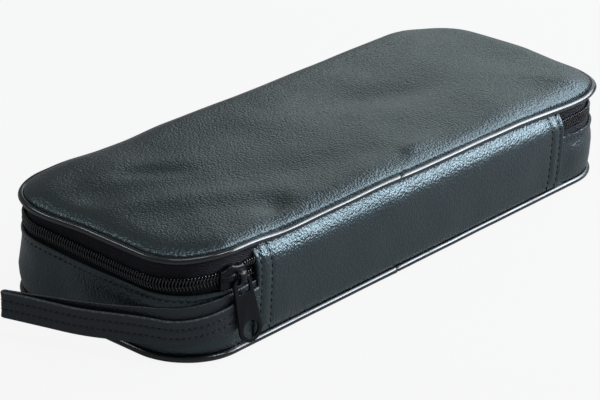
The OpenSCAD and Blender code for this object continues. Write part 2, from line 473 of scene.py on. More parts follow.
class Finish(Enum):
    """The finishes of the case, each with the record's slot that it stands for."""

    SKIN = ("leatherette", PebbledSkin())
    PIPING = ("piping", VinylPiping())
    STRAP = ("strap", PebbledSkin(
        name="strap_skin", depth=0.26, roughness=0.42, dark=(0.0045, 0.0055, 0.0068),
        light=(0.0085, 0.0098, 0.0112), gloss=(0.74, 0.82, 0.92),
    ))
    TAPE = ("zip_tape", WovenTape())
    COIL = ("zip_coil", NylonCoil())
    ENAMEL = ("enamel", SatinEnamel())
    THREAD = (None, TwistedThread())
    LINING = ("lining", LiningCloth())
    BOARD = ("board", GreyBoard())
    FOAM = ("foam", SoftFoam())

    @property
    def slot(self) -> str | None:
        """The record's slot, if it has one."""
        return self.value[0]

    def material(self) -> bpy.types.Material:
        """Builds the finish's material."""
        return self.value[1].material()


# ---------------------------------------------------------------- shapes


@dataclass
class Outline:
    """Rounded rectangle that the piping follows."""

    half_length: float = 156.0
    half_width: float = 59.5
    corner: float = 28.5
    fine: int = 22

    def __post_init__(self) -> None:
        """Works out where its straights and corners begin."""
        x, y = self.half_length - self.corner, self.half_width - self.corner
        arc = self.corner * math.pi / 2
        lengths = [arc, 2 * y, arc, 2 * x, arc, 2 * y, arc, 2 * x]
        self.breaks = np.concatenate([[0.0], np.cumsum(lengths)])
        self.length = float(self.breaks[-1])
        self.turns = np.radians([-90, -180, -180, -270, -270, -360, -360, -450, -450])
        self.side_x = np.array([-1, -1, -1, -1, 1, 1, 1, 1, -1.0])
        self.side_y = np.array([-1, -1, 1, 1, 1, 1, -1, -1, -1.0])

    def marks(self, start: float = 0.0, stop: float | None = None, step: float = 2.0) -> Array:
        """Runs along the outline, closer together round the corners.

        Args:
            start: First run.
            stop: Last run, or None for the whole loop without its last mark.
            step: Spacing on the straights.

        Returns:
            The runs in rising order.
        """
        marks = []
        for i in range(8):
            low, high = self.breaks[i], self.breaks[i + 1]
            count = self.fine if i % 2 == 0 else max(2, round((high - low) / step))
            marks.append(np.linspace(low, high, count, endpoint=False))
        marks = np.concatenate(marks)
        if stop is None:
            return marks
        marks = np.concatenate([marks - self.length, marks, marks + self.length])
        inside = marks[(marks > start + 0.3) & (marks < stop - 0.3)]
        return np.concatenate([[start], inside, [stop]])

    def frame(self, run: Array) -> tuple[Array, Array, Array]:
        """Where runs lie.

        Args:
            run: Runs along the outline.

        Returns:
            Their corner's side along and across, from -1 to 1, and their outward normal.
        """
        s = np.mod(run, self.length)
        turn = np.interp(s, self.breaks, self.turns)
        share_x = np.interp(s, self.breaks, self.side_x)
        share_y = np.interp(s, self.breaks, self.side_y)
        return share_x, share_y, np.stack([np.cos(turn), np.sin(turn)], -1)

    def point(self, run: Array, out: Array, z: Array) -> Array:
        """Points given by their place on the outline.

        Args:
            run: Runs along the outline.
            out: Distances outside it.
            z: Heights.

        Returns:
            The points.
        """
        run, out, z = np.broadcast_arrays(np.asarray(run, float), out, z)
        share_x, share_y, normal = self.frame(run)
        centre = np.stack([
            share_x * (self.half_length - self.corner),
            share_y * (self.half_width - self.corner),
        ], -1)
        flat = centre + (self.corner + out)[..., None] * normal
        return np.concatenate([flat, z[..., None]], -1)

    def direction(self, run: Array) -> Array:
        """Unit vector along the outline, towards higher runs."""
        normal = self.frame(run)[2]
        return np.stack([normal[..., 1], -normal[..., 0], np.zeros_like(normal[..., 0])], -1)

    def outward(self, run: Array) -> Array:
        """Unit vector out of the outline."""
        normal = self.frame(run)[2]
        return np.concatenate([normal, np.zeros_like(normal[..., :1])], -1)

    def ring(self, run: Array, share: float, edge: float) -> Array:
        """The outline drawn in towards its long middle line.

        Args:
            run: Marks on the full outline.
            share: From 0, the edge, to 1, the middle line.
            edge: How far inside the outline the edge lies.

        Returns:
            Points in the plane.
        """
        share_x, share_y, normal = self.frame(run)
        half_width = self.half_width - edge
        radius = (self.corner - edge) * (1 - share)
        x = self.half_length - edge - share * half_width - radius
        y = half_width * (1 - share) - radius
        return np.stack([share_x * x, share_y * y], -1) + radius * normal


class Trend:
    """A value that changes smoothly along the outline between given places."""

    def __init__(self, length: float, places: dict[float, float], blur: float) -> None:
        """Prepares a table of the smoothed values, one for each millimetre.

        Args:
            length: The outline's length.
            places: Values by run.
            blur: How far a value spreads along the outline.
        """
        self.length = length
        runs = np.arange(0, length, 1.0)
        keys = sorted(places)
        table = np.interp(runs, keys, [places[k] for k in keys], period=length)
        reach = np.arange(-4 * blur, 4 * blur + 1)
        weights = np.exp(-0.5 * (reach / blur) ** 2)
        rolled = [np.roll(table, int(r)) * w for r, w in zip(reach, weights)]
        self.table = np.sum(rolled, 0) / weights.sum()
        self.runs = runs

    def at(self, run: Array) -> Array:
        """The value at some runs."""
        return np.interp(np.asarray(run, float), self.runs, self.table, period=self.length)


def ripple(u: Array, v: Array | float, wave: float, seed: int) -> Array:
    """Smooth unevenness about one unit high.

    Args:
        u: First coordinate, in millimetres.
        v: Second coordinate, or 0 where the first is enough.
        wave: Usual length of a wave.
        seed: Which pattern.

    Returns:
        Heights, mostly from -1 to 1.
    """
    rng = np.random.default_rng(seed)
    total = np.zeros(np.broadcast(u, v).shape)
    for _ in range(9):
        angle, phase = rng.uniform(0, 2 * math.pi, 2)
        turn = 2 * math.pi / (wave * rng.uniform(0.6, 1.9))
        total = total + np.sin(turn * (u * math.cos(angle) + v * math.sin(angle)) + phase)
    return total / 4


def ease(value: Array, low: float, high: float) -> Array:
    """Rises smoothly from 0 at low to 1 at high."""
    t = np.clip((np.asarray(value, float) - low) / (high - low), 0, 1)
    return t * t * (3 - 2 * t)


def hump(value: Array, middle: float, width: float) -> Array:
    """A smooth hump of height 1."""
    return np.exp(-(((np.asarray(value, float) - middle) / width) ** 2))


def travelled(line: Array) -> Array:
    """Distance along a line of points, from its first one."""
    return np.concatenate([[0.0], np.cumsum(np.linalg.norm(np.diff(line, axis=0), axis=1))])


def smooth(values: Array, reach: int = 4) -> Array:
    """Running mean over a few neighbours on each side."""
    return np.convolve(np.pad(values, reach, "edge"), np.ones(2 * reach + 1) / (2 * reach + 1), "valid")


def mend(mesh: bpy.types.Mesh, merge: bool) -> None:
    """Turns a mesh's faces outward.

    Args:
        mesh: The mesh.
        merge: Whether points in one place become one first.
    """
    work = bmesh.new()
    work.from_mesh(mesh)
    if merge:
        bmesh.ops.remove_doubles(work, verts=work.verts, dist=1e-6)
    bmesh.ops.recalc_face_normals(work, faces=work.faces)
    work.to_mesh(mesh)
    work.free()


def shade(name: str, mesh: bpy.types.Mesh, sharp: float) -> bpy.types.Object:
    """Shades a mesh smoothly and makes its object.

    Args:
        name: The piece's name.
        mesh: The mesh.
        sharp: Angle in degrees above which an edge isn't smoothed.

    Returns:
        The object, linked to the scene.
    """
    mesh.shade_smooth()
    mesh.set_sharp_from_angle(angle=math.radians(sharp))
    piece = bpy.data.objects.new(name, mesh)
    bpy.context.scene.collection.objects.link(piece)
    return piece


class Pile:
    """Grids of points gathered into one mesh."""

    def __init__(self) -> None:
        """Starts empty."""
        self.points: list[Array] = []
        self.places: list[Array] = []
        self.faces: list[list[int]] = []
        self.count = 0

    def add(self, grid: Array, loop: bool = False, tube: bool = True, capped: bool = True,
            place: Array | None = None) -> None:
        """Adds a grid of points, rows by columns.

        Args:
            grid: Rows, columns and three coordinates.
            loop: Whether the last row joins the first.
            tube: Whether the last column joins the first.
            capped: Whether the first and last rows are closed.
            place: Coordinates for the finish, when they aren't the points.
        """
        rows, columns = grid.shape[:2]
        index = np.arange(rows * columns).reshape(rows, columns) + self.count
        down = np.roll(index, -1, 0) if loop else index[1:]
        here = index if loop else index[:-1]
        if tube:
            quads = [here, np.roll(here, -1, 1), np.roll(down, -1, 1), down]
        else:
            quads = [here[:, :-1], here[:, 1:], down[:, 1:], down[:, :-1]]
        self.faces += np.stack(quads, -1).reshape(-1, 4).tolist()
        if tube and capped and not loop:
            self.faces += [index[0].tolist(), index[-1][::-1].tolist()]
        self.points.append(grid.reshape(-1, 3))
        self.places.append((grid if place is None else place).reshape(-1, 3))
        self.count += rows * columns

    def piece(self, name: str, merge: bool = False, sharp: float = 50.0) -> bpy.types.Object:
        """Makes the object, in metres.

        Args:
            name: The piece's name.
            merge: Whether points in one place become one.
            sharp: Angle in degrees above which an edge isn't smoothed.

        Returns:
            The object, linked to the scene.
        """
        mesh = bpy.data.meshes.new(name)
        mesh.from_pydata((np.concatenate(self.points) * MM).tolist(), [], self.faces)
        places = mesh.attributes.new("place", "FLOAT_VECTOR", "POINT")
        places.data.foreach_set("vector", (np.concatenate(self.places) * MM).ravel())
        mend(mesh, merge)
        return shade(name, mesh, sharp)


def pipe(path: Array, radius: Array | float, side: Array, sides: int = 6) -> Array:
    """Points of a round tube along a path.

    Args:
        path: Points of the middle line.
        radius: One radius, or one for each point.
        side: A direction for each point that isn't along the path.
        sides: Points round the tube.

    Returns:
        Rows along the path, columns round it.
    """
    along = np.gradient(path, axis=0)
    along /= np.linalg.norm(along, axis=1)[:, None] + 1e-12
    first = side - (side * along).sum(1)[:, None] * along
    first /= np.linalg.norm(first, axis=1)[:, None] + 1e-12
    second = np.cross(along, first)
    turn = np.linspace(0, 2 * math.pi, sides, endpoint=False)
    radius = np.broadcast_to(radius, (len(path),))[:, None, None]
    offset = np.cos(turn)[None, :, None] * first[:, None] + np.sin(turn)[None, :, None] * second[:, None]
    return path[:, None] + radius * offset


@dataclass
class Seam:
    """A row of thread stitches along a line on a surface."""

    pitch: float = 3.1
    share: float = 0.74
    thread: float = 0.27
    proud: float = 0.16

    def sew(self, pile: Pile, line: Array, outward: Array) -> None:
        """Adds the stitches to a pile.

        Args:
            pile: Where they go.
            line: Points along the seam.
            outward: The surface's normal at each point.
        """
        along = travelled(line)
        count = max(1, int(along[-1] / self.pitch))
        pitch = along[-1] / count
        shape = np.array([-1.3, -0.6, 0.75, 1.0, 0.75, -0.6, -1.3])
        for i in range(count):
            middle = (i + 0.5) * pitch
            spots = middle + pitch * self.share * np.linspace(-0.5, 0.5, len(shape))
            points = np.stack([np.interp(spots, along, line[:, k]) for k in range(3)], 1)
            normals = np.stack([np.interp(spots, along, outward[:, k]) for k in range(3)], 1)
            path = points + normals * (shape * self.proud)[:, None]
            girth = self.thread * np.array([0.7, 0.95, 1.0, 1.0, 1.0, 0.95, 0.7])
            pile.add(pipe(path, girth, normals, 6))


# ---------------------------------------------------------------- the case


class Body(Enum):
    """The bodies of the frame."""

    BASE = "base"
    LID = "lid"
    SLIDER = "slider"
    TAB = "tab"
    STRAP = "strap"


@dataclass
class Seat:
    """Sizes that the sub-assemblies share."""

    outline: Outline = field(default_factory=Outline)
    lid_z: float = 47.3
    base_z: float = 1.7
    zip_z: float = 37.5
    band_z: float = 31.5
    near_run: float = -12.0
    far_run: float = 575.57
    tuck: float = 3.0

    def __post_init__(self) -> None:
        """Prepares the trends along the outline."""
        length = self.outline.length
        self.lift = Trend(length, {
            4: 2.2, 14: 1.9, 27: 0.2, 39: 0.1, 79: 0.4, 101: -1.0, 118: 0, 140: -0.7, 165: 0.5,
            184: -0.9, 205: -0.9, 229: 0.2, 280: -0.2, 335: 0.3, 359: 0.7, 403: 1.1, 421: -1.0,
            459: 0.5, 483: 1.0, 508: -1.2, 527: -1.8, 548: -0.6, 562: -2.4, 572: -2.2, 585: -1.4,
            616: 0, 690: 0.3, 715: 1.0, 746: 0.6, 785: 0.3, 800: 1.6,
        }, 4.0)
        self.sag = Trend(length, {
            0: 0.9, 10: 0.9, 17: 0.2, 23: -0.8, 30: -1.4, 42: -1.8, 57: -2.2, 68: -2.0, 92: -1.2,
            118: -0.4, 150: 0.2, 300: -0.5, 450: 0.3, 500: -0.7, 530: -1.9, 560: -2.4, 580: -2.4,
            615: -1.0, 800: 0.3,
        }, 6.0)
        self.pinch = Trend(length, {
            0: 0.0, 25: 0.1, 60: 0.8, 110: 0.9, 160: 0.5, 300: 0.9, 420: 0.6, 480: 1.6, 520: 1.8,
            560: 1.3, 580: 0.6, 780: 0.0,
        }, 9.0)
        self.band_rise = Trend(length, {
            0: 0.7, 13: 0.9, 21: 0.5, 60: 0.0, 78: -0.1, 95: 0.3, 115: 1.6, 132: 0.8, 170: 0.2,
            300: 0.5, 430: 0.1, 490: -0.4, 525: -1.8, 560: -2.6, 580: -2.6, 625: -1.0, 790: 0.3,
        }, 6.0)

    def zip_in(self, run: Array, z: Array) -> Array:
        """How far the zip pulls the wall in, at a run and height."""
        return self.pinch.at(run) * hump(z, self.zip_z, 6.5)


@dataclass
class Assembly:
    """What every sub-assembly can do with a mesh."""

    seat: Seat
    finishes: dict

    @property
    def outline(self) -> Outline:
        """The piping's outline."""
        return self.seat.outline

    def dress(self, piece: bpy.types.Object, finish: Finish, body: Body | None,
              replaces: tuple = ()) -> bpy.types.Object:
        """Gives a piece its finish and its body.

        Args:
            piece: The piece.
            finish: Its finish.
            body: The body it rides on, or None.
            replaces: The frame's nodes that it stands for.

        Returns:
            The piece.
        """
        piece.data.materials.clear()
        piece.data.materials.append(self.finishes[finish])
        if finish.slot:
            finish.slot
        if replaces:
            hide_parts(*replaces)
        if body:
            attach(piece, body.value)
        LOG.info("%s: %d points", piece.name, len(piece.data.vertices))
        return piece

    def pad(self, name: str, rings: list[Array]) -> bpy.types.Object:
        """Makes one closed piece, merged where its rings meet in the middle.

        Args:
            name: The piece's name.
            rings: Its rings, from the middle of one face round the edge to the other's.

        Returns:
            The piece.
        """
        pile = Pile()
        pile.add(np.stack(rings, 1), loop=True, tube=False)
        return pile.piece(name, merge=True)

    def soften(self, piece: bpy.types.Object, width: float) -> None:
        """Rounds a hard piece's edges a little.

        Args:
            piece: The piece.
            width: Width of the rounding, in millimetres.
        """
        bevel = piece.modifiers.new("edges", "BEVEL")
        bevel.width = width * MM
        bevel.segments = 2
        bevel.limit_method = "ANGLE"
        bevel.angle_limit = math.radians(35)


@dataclass
class PipedEdges(Assembly):
    """The two beads of piping, each with its sewn flange and its joint at the front."""

    bead: float = 1.5
    flange: float = 6.0
    joint_run: float = 703.07

    def profile(self) -> Array:
        """Section of the bead and its flange.

        Returns:
            Its points, as out and height.
        """
        turn = np.radians(np.linspace(-152, 152, 17))
        bead = np.stack([np.cos(turn), np.sin(turn)], 1) * self.bead
        tail = [(-2.2, 0.42), (-self.flange, 0.35), (-self.flange, -0.35), (-2.2, -0.42)]
        return np.concatenate([bead, tail])

    def build(self) -> None:
        """Makes both beads."""
        for name, z, body, node, lifted in (
            ("lid_piping_bead", self.seat.lid_z, Body.LID, "lid_piping", 1.0),
            ("base_piping_bead", self.seat.base_z, Body.BASE, "base_piping", 0.0),
        ):
            run = self.outline.marks(self.joint_run, self.joint_run + self.outline.length, 2.0)
            into = run - self.joint_run
            left = self.joint_run + self.outline.length - run
            girth = 1 + 0.10 * np.exp(-into / 5) - 0.09 * np.exp(-left / 4)
            girth = girth + 0.015 * ripple(run, 0.0, 12, 5)
            girth[0], girth[-1] = 0.93, 0.80
            shape = self.profile()
            sway = 0.22 * ripple(run, 0.0, 46, 8 if lifted else 9) * (1 if lifted else 0.6)
            height = z + lifted * self.seat.lift.at(run)
            if not lifted:
                height = height + 0.35 * hump(run, 595, 26) + 0.12 * ripple(run, 0.0, 60, 3) ** 2
            out = sway[:, None] + shape[None, :, 0] * girth[:, None]
            up = height[:, None] + shape[None, :, 1] * girth[:, None]
            pile = Pile()
            grid = self.outline.point(run[:, None], out, up)
            pile.add(grid)
            self.dress(pile.piece(name), Finish.PIPING, body, (node,))


@dataclass
class Lid(Assembly):
    """The padded top panel with the board and lining beneath it."""

    edge: float = 1.35
    rise: float = 5.0
    roll: float = 13.5
    roundness: float = 2.15
    crown: float = 1.3
    under_z: float = 46.9
    lining_edge: float = 4.9

    def dents(self, x: Array, y: Array) -> Array:
        """Hollows and swells of the soft panel.

        Args:
            x: Place along the length.
            y: Place across.

        Returns:
            Height to add.
        """
        total = 0.42 * ripple(x, y, 74, 21) + 0.15 * ripple(x, y, 30, 4)
        for cx, cy, long, wide, angle, height in (
            (-119, 29, 17, 6, 15, 0.9), (-101, 15, 15, 6, -35, -1.2), (-134, 18, 12, 10, 60, -0.8),
            (-118, -10, 42, 9, -32, 0.9), (-100, -34, 30, 8, -28, -0.7), (-86, 10, 30, 14, -20, 0.6),
            (-88, -47, 10, 5, 25, -1.1), (-72, -49, 12, 5, 0, 0.5), (28, 8, 26, 12, -20, -1.0),
            (55, -4, 22, 10, -10, -0.7), (8, -20, 30, 12, 30, 0.5), (90, 20, 34, 16, 10, 0.6),
            (-30, 20, 40, 16, 15, 0.5), (-40, -30, 28, 9, -12, -0.6), (5, -48, 16, 5, 4, 0.7),
            (-6, -51, 9, 4, 30, -0.9), (120, -20, 18, 14, 50, -0.7),
        ):
            a = math.radians(angle)
            along = (x - cx) * math.cos(a) + (y - cy) * math.sin(a)
            across = -(x - cx) * math.sin(a) + (y - cy) * math.cos(a)
            total = total + 1.35 * height * np.exp(-((along / long) ** 2) - (across / wide) ** 2)
        return total

    def height(self, run: Array, inset: float, x: Array, y: Array) -> Array:
        """Height of the panel's upper face at one ring.

        Args:
            run: The ring's marks on the outline.
            inset: How far inside the panel's edge the ring lies.
            x: The marks' places along the length.
            y: Their places across.

        Returns:
            The heights.
        """
        p = self.roundness
        roll = self.roll + 2.0 * ripple(run, 0.0, 85, 31)
        near = np.clip(1 - inset / roll, 0, 1)
        rounded = (1 - near ** p) ** (1 / p)
        fade = max(0.0, 1 - inset / (self.outline.half_width - self.edge)) ** 3
        lift = self.seat.lift.at(run) * fade
        inner = ease(inset, 1.5, 13)
        top = self.rise * rounded + self.crown * ease(inset, 4, 50)
        return self.seat.lid_z + 0.35 + lift + top + self.dents(x, y) * inner

    def panel(self) -> None:
        """Makes the padded panel as one closed pad."""
        run = self.outline.marks(step=3.0)
        half = self.outline.half_width - self.edge
        insets = np.array([0, 0.35, 0.8, 1.4, 2.1, 3, 4, 5.2, 6.5, 8, 9.6, 11.5, 13.8, 16.5, 19.5, 23,
                           27, 31, 35, 39, 43, 47, 51, 54.5, half])
        rings = []
        for inset in (half, 40, 20, 8, 2.5, 0.6):
            flat = self.outline.ring(run, inset / half, self.edge)
            low = self.under_z - 0.2 * ease(inset, 0, 6) + self.seat.lift.at(run) * math.exp(-inset / 4)
            rings.append(np.concatenate([flat, np.broadcast_to(low, run.shape)[:, None]], 1))
        for inset in insets:
            swell = 0.62 * math.exp(-((inset - 0.8) / 0.95) ** 2)
            flat = self.outline.ring(run, (inset - swell) / half, self.edge)
            top = self.height(run, float(inset), flat[:, 0], flat[:, 1])
            rings.append(np.concatenate([flat, top[:, None]], 1))
        piece = self.pad("lid_panel_skin", rings)
        self.dress(piece, Finish.SKIN, Body.LID, ("lid_panel", "lid_foam"))

    def lining(self) -> None:
        """Makes the lining that wraps the lid's board, a little puckered at its edge."""
        run = self.outline.marks(step=4.0)
        edge = self.lining_edge
        half = self.outline.half_width - edge
        rings = []
        for inset, z in ((half, 45.35), (2.0, 45.35), (1.0, 46.75), (0.0, 46.85), (-0.1, 46.3), (0.2, 45.2),
                         (1.2, 44.65), (3, 44.55), (6, 44.55), (12, 44.5), (22, 44.5), (38, 44.5),
                         (half, 44.5)):
            flat = self.outline.ring(run, inset / half, edge)
            pucker = 0.14 * ripple(run, 0.0, 9, 12) * hump(inset, 1.0, 4) * (z < 45.3)
            soft = 0.16 * ripple(flat[:, 0], flat[:, 1], 40, 14) * (z < 45) * ease(inset, 1, 10)
            rings.append(np.concatenate([flat, (z + pucker + soft)[:, None]], 1))
        self.dress(self.pad("lid_lining_cloth", rings), Finish.LINING, Body.LID, ("lid_lining",))

    def build(self) -> None:
        """Makes the panel and its lining."""
        self.panel()
        self.lining()


@dataclass
class Shell(Assembly):
    """Base, lower wall, spine and their linings."""

    bottom_edge: float = 1.3
    lining_edge: float = 3.15
    stitch_drop: float = 3.35
    spine_back: float = -2.15
    hem_rows: tuple = (3.2, 9.7)
    spine_heights: tuple = (
        3.1, 3.5, 4.4, 6.2, 9, 13, 18, 24, 30, 34, 36, 37.5, 39, 40.3, 41.5, 42.6, 43.5, 44.2, 45.9,
    )
    spine_outs: tuple = (
        -0.7, 0.0, 0.6, 1.15, 1.6, 1.9, 2.1, 2.3, 2.4, 2.3, 2.15, 1.9, 1.45, 0.85, 0.15, -0.6, -1.25,
        -1.7, -1.9,
    )

    def settle(self, run: Array) -> Array:
        """1 along the wall, falling to 0 where it goes under the hems."""
        return ease(run, -11, 4) * (1 - ease(run, 560, 574))

    def bottom(self) -> None:
        """Makes the base panel, flat beneath and rounded at its edge."""
        run = self.outline.marks(step=4.0)
        edge = self.bottom_edge
        half = self.outline.half_width - edge
        rings = []
        for inset, z in ((half, 1.2), (8, 1.2), (0.9, 1.2), (0.1, 1.0), (0.0, 0.7), (0.35, 0.3), (1.2, 0.08),
                         (3, 0.0), (10, 0.0), (24, 0.02), (42, 0.03), (half, 0.03)):
            flat = self.outline.ring(run, inset / half, edge)
            sag = 0.10 * (1 + ripple(flat[:, 0], flat[:, 1], 60, 2)) * (z < 0.05) * ease(inset, 3, 14)
            rings.append(np.concatenate([flat, (z + np.abs(sag))[:, None]], 1))
        self.dress(self.pad("base_panel_skin", rings), Finish.SKIN, Body.BASE, ("base_panel",))

    def band(self) -> None:
        """Makes the lower wall with its folded, top-stitched edge."""
        seat = self.seat
        run = self.outline.marks(seat.near_run - seat.tuck, seat.far_run + seat.tuck, 2.0)
        top = seat.band_z + seat.band_rise.at(run)
        swell = self.settle(run)
        fold = 0.25 + 0.75 * swell
        low = [(-1.3, 3.35), (-0.55, 3.2), (0.05, 4.3), (0.5, 6.5), (0.9, 10), (1.05, 14), (0.95, 18),
               (0.65, 22)]
        rim = [(0.30, -6.2), (0.05, -4.6), (-0.22, -3.4), (0.05, -2.6), (0.40, -1.7), (0.45, -0.8),
               (0.10, -0.12), (-0.6, 0.0), (-1.2, -0.35), (-1.45, -1.4)]
        inner = [(-1.5, 20), (-1.5, 8)]
        out, up = [], []
        for o, z in low:
            loose = 0.55 * ripple(run, z, 34, 41) + 0.25 * ripple(run, 3.0 * z, 15, 42)
            grow = hump(z, 14, 8.5) * swell
            out.append(o * (0.35 + 0.65 * swell) - (1 - swell) * 0.55 * (o > -1) + loose * grow)
            up.append(np.full_like(run, z))
        for o, dz in rim:
            wavy = 0.16 * ripple(run, dz * 2, 22, 43) * swell
            out.append(o * fold - (1 - swell) * 0.45 * (o > -1) + wavy)
            up.append(top + dz)
        for o, z in inner:
            out.append(np.full_like(run, o))
            up.append(np.full_like(run, z))
        out, up = np.stack(out, 1), np.stack(up, 1)
        pile = Pile()
        pile.add(self.outline.point(run[:, None], out, up))
        self.dress(pile.piece("wall_band_skin"), Finish.SKIN, Body.BASE, ("wall_band",))
        stitched = run[(run > -14) & (run < 577)]
        line_z = seat.band_z + seat.band_rise.at(stitched) - self.stitch_drop
        flat = self.settle(stitched)
        line_out = -0.18 * (0.25 + 0.75 * flat) - (1 - flat) * 0.45
        thread = Pile()
        Seam().sew(thread, self.outline.point(stitched, line_out, line_z), self.outline.outward(stitched))
        self.dress(thread.piece("wall_band_stitches"), Finish.THREAD, Body.BASE)

    def spine_out(self, run: Array, z: Array) -> Array:
        """How far the spine panel's outer face stands out.

        Args:
            run: Runs along the outline.
            z: Heights.

        Returns:
            The distances.
        """
        steps = np.linspace(-0.8, 0.8, 9)
        base = sum(np.interp(z + step, self.spine_heights, self.spine_outs) for step in steps) / len(steps)
        middle = ease(z, 3, 12) * (1 - ease(z, 43, 47))
        inside = ease(run, self.seat.far_run + 8, self.seat.far_run + 24)
        inside = inside * (1 - ease(run, self.outline.length - 34, self.outline.length - 20))
        loose = 0.34 * ripple(run, z * 1.3, 62, 51) + 0.16 * ripple(run, z, 24, 52)
        base = base + loose * middle * (0.25 + 0.75 * inside)
        for start, side in ((self.seat.far_run, 1), (self.outline.length + self.seat.near_run, -1)):
            into = (run - start) * side
            valley = sum(hump(into, row, 0.9) for row in self.hem_rows)
            pillow = hump(into, 6.4, 2.2) + 0.6 * hump(into, 1.4, 1.0)
            base = base + (0.30 * pillow - 0.42 * valley) * middle
            base = base - 0.10 * ease(into, 9.7, 12)
        near = self.outline.length + self.seat.near_run - run
        over = hump(near, 6, 6.5)
        for level, size in ((40.4, 0.30), (31.2, 0.38), (8.9, 0.34)):
            base = base + size * over * hump(z + 0.10 * near, level, 0.75)
        return base

    def spine(self) -> None:
        """Makes the spine panel with its turned hems, and their stitches."""
        seat = self.seat
        start, stop = seat.far_run, self.outline.length + seat.near_run
        ends = np.array([0, 0.12, 0.4, 0.9, 1.5, 2.2, 2.8, 3.3, 3.8, 4.6, 5.6, 6.6, 7.6, 8.6, 9.2, 9.7,
                         10.2, 11, 12.2])
        run = np.concatenate([start + ends, np.arange(start + 14, stop - 13, 2.0), (stop - ends)[::-1]])
        rise = np.concatenate([[3.1, 3.5, 4.2], np.arange(5.4, 45, 0.8), [45.3, 45.65, 45.9]])
        edge = np.minimum(run - start, stop - run)
        round_off = np.sqrt(np.clip(1 - (1 - np.clip(edge / 0.9, 0, 1)) ** 2, 0.02, 1))
        back = np.full_like(run, self.spine_back)
        outer = self.spine_out(run[:, None], rise[None, :])
        core = (outer + np.minimum(back[:, None], outer - 0.5)) / 2
        outer = core + (outer - core) * round_off[:, None]
        lift = seat.lift.at(run)[:, None] * ease(rise, 30, 45)[None, :]
        outer_grid = self.outline.point(run[:, None], outer, rise[None, :] + lift)
        slant = 0.35 * ripple(rise, 0.0, 40, 61)[None, :] * (1 - ease(edge, 0, 14))[:, None]
        side = np.where(run < (start + stop) / 2, 1, -1)[:, None]
        outer_grid[..., 0] += slant * side
        inner_rise = rise[::-1]
        inner = core[:, ::-1] + (back[:, None] - core[:, ::-1]) * round_off[:, None]
        inner = np.minimum(inner, outer[:, ::-1] - 0.5 * round_off[:, None])
        inner_grid = self.outline.point(run[:, None], inner, inner_rise[None, :] + lift[:, ::-1])
        inner_grid[..., 0] += (slant * side)[:, ::-1]
        pile = Pile()
        pile.add(np.concatenate([outer_grid, inner_grid], 1))
        self.dress(pile.piece("spine_panel_skin"), Finish.SKIN, Body.BASE,
                   ("spine_panel", "near_hem", "far_hem", "spine_board"))
        thread = Pile()
        for at, outward in ((start, 1), (stop, -1)):
            for row in self.hem_rows:
                z = np.linspace(3.9, 45.2, 60)
                line = np.full_like(z, at + outward * row)
                bend = 0.35 * ripple(z, 0.0, 40, 61) * (1 - ease(row, 0, 14)) * outward
                lifted = z + seat.lift.at(line) * ease(z, 30, 45)
                points = self.outline.point(line, self.spine_out(line, z) + 0.02, lifted)
                points[:, 0] += bend
                slope = np.gradient(self.spine_out(line, z), z)
                normal = self.outline.outward(line)
                normal[:, 2] = -slope
                normal /= np.linalg.norm(normal, axis=1)[:, None]
                Seam(pitch=3.2).sew(thread, points, normal)
        self.dress(thread.piece("spine_hem_stitches"), Finish.THREAD, Body.BASE)

    def hinge(self) -> None:
        """Makes the strip of cloth inside that joins spine and lid, curved between them."""
        run = np.linspace(self.seat.far_run + 1, self.outline.length + self.seat.near_run - 1, 110)
        outs = np.array([-2.05, -2.05, -2.1, -2.1, -2.15, -2.2, -2.3, -2.45, -2.7, -3.0, -3.35, -3.8,
                         -4.4, -5.4])
        rise = np.array([43.6, 44.2, 44.7, 45.1, 45.45, 45.8, 46.1, 46.35, 46.55, 46.7, 46.78, 46.83,
                         46.85, 46.85])
        lift = self.seat.lift.at(run)[:, None]
        front = self.outline.point(run[:, None], outs[None], rise[None] + lift)
        back = self.outline.point(run[:, None], outs[None, ::-1] - 0.22, rise[None, ::-1] + lift - 0.22)
        pile = Pile()
        pile.add(np.concatenate([front, back], 1))
        strip = self.dress(pile.piece("hinge_cloth"), Finish.LINING, None)
        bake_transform(strip)

    def linings(self) -> None:
        """Makes the linings of floor, wall and spine."""
        run = self.outline.marks(step=4.0)
        edge = self.lining_edge
        half = self.outline.half_width - edge
        rings = []
        for inset, z in ((half, 3.65), (10, 3.65), (0.4, 3.65), (0.0, 4.0), (0.4, 4.4), (2, 4.42),
                         (6, 4.42), (14, 4.42), (26, 4.42), (42, 4.42), (half, 4.42)):
            flat = self.outline.ring(run, inset / half, edge)
            soft = 0.14 * ripple(flat[:, 0], flat[:, 1], 36, 15) * (z > 4.41) * ease(inset, 2, 12)
            rings.append(np.concatenate([flat, (z + soft)[:, None]], 1))
        self.dress(self.pad("base_lining_cloth", rings), Finish.LINING, Body.BASE, ("base_lining",))
        seat = self.seat
        for name, node, start, stop, top in (
            ("wall_lining_cloth", "wall_lining", seat.near_run - 10, seat.far_run + 10, 31.5),
            ("spine_lining_cloth", "spine_lining", seat.far_run + 10,
             self.outline.length + seat.near_run - 10, 45.4),
        ):
            run = self.outline.marks(start, stop, 3.0)
            inner = np.array([3.9, 4.4, 7, 12, 17, 22, 26, top - 3, top - 1.2, top - 0.35, top])
            outer = np.array([top - 0.1, top - 1, 20, 3.9])
            puff = 0.22 * ripple(run[:, None], inner[None, :] * 1.5, 30, 16)
            puff = puff * hump(inner, top / 2, top / 3)[None, :]
            gather = 0.10 * ripple(run[:, None], 0.0, 6, 17)
            gather = gather * hump(inner, top - 1.5, 2.5)[None, :]
            inward = np.where(inner > top - 0.2, -2.75, -2.98)[None, :] - np.abs(puff) - gather
            back = np.full((len(run), len(outer)), -2.3)
            z = np.concatenate([inner, outer])
            pile = Pile()
            pile.add(self.outline.point(run[:, None], np.concatenate([inward, back], 1), z[None, :]))
            self.dress(pile.piece(name), Finish.LINING, Body.BASE, (node,))

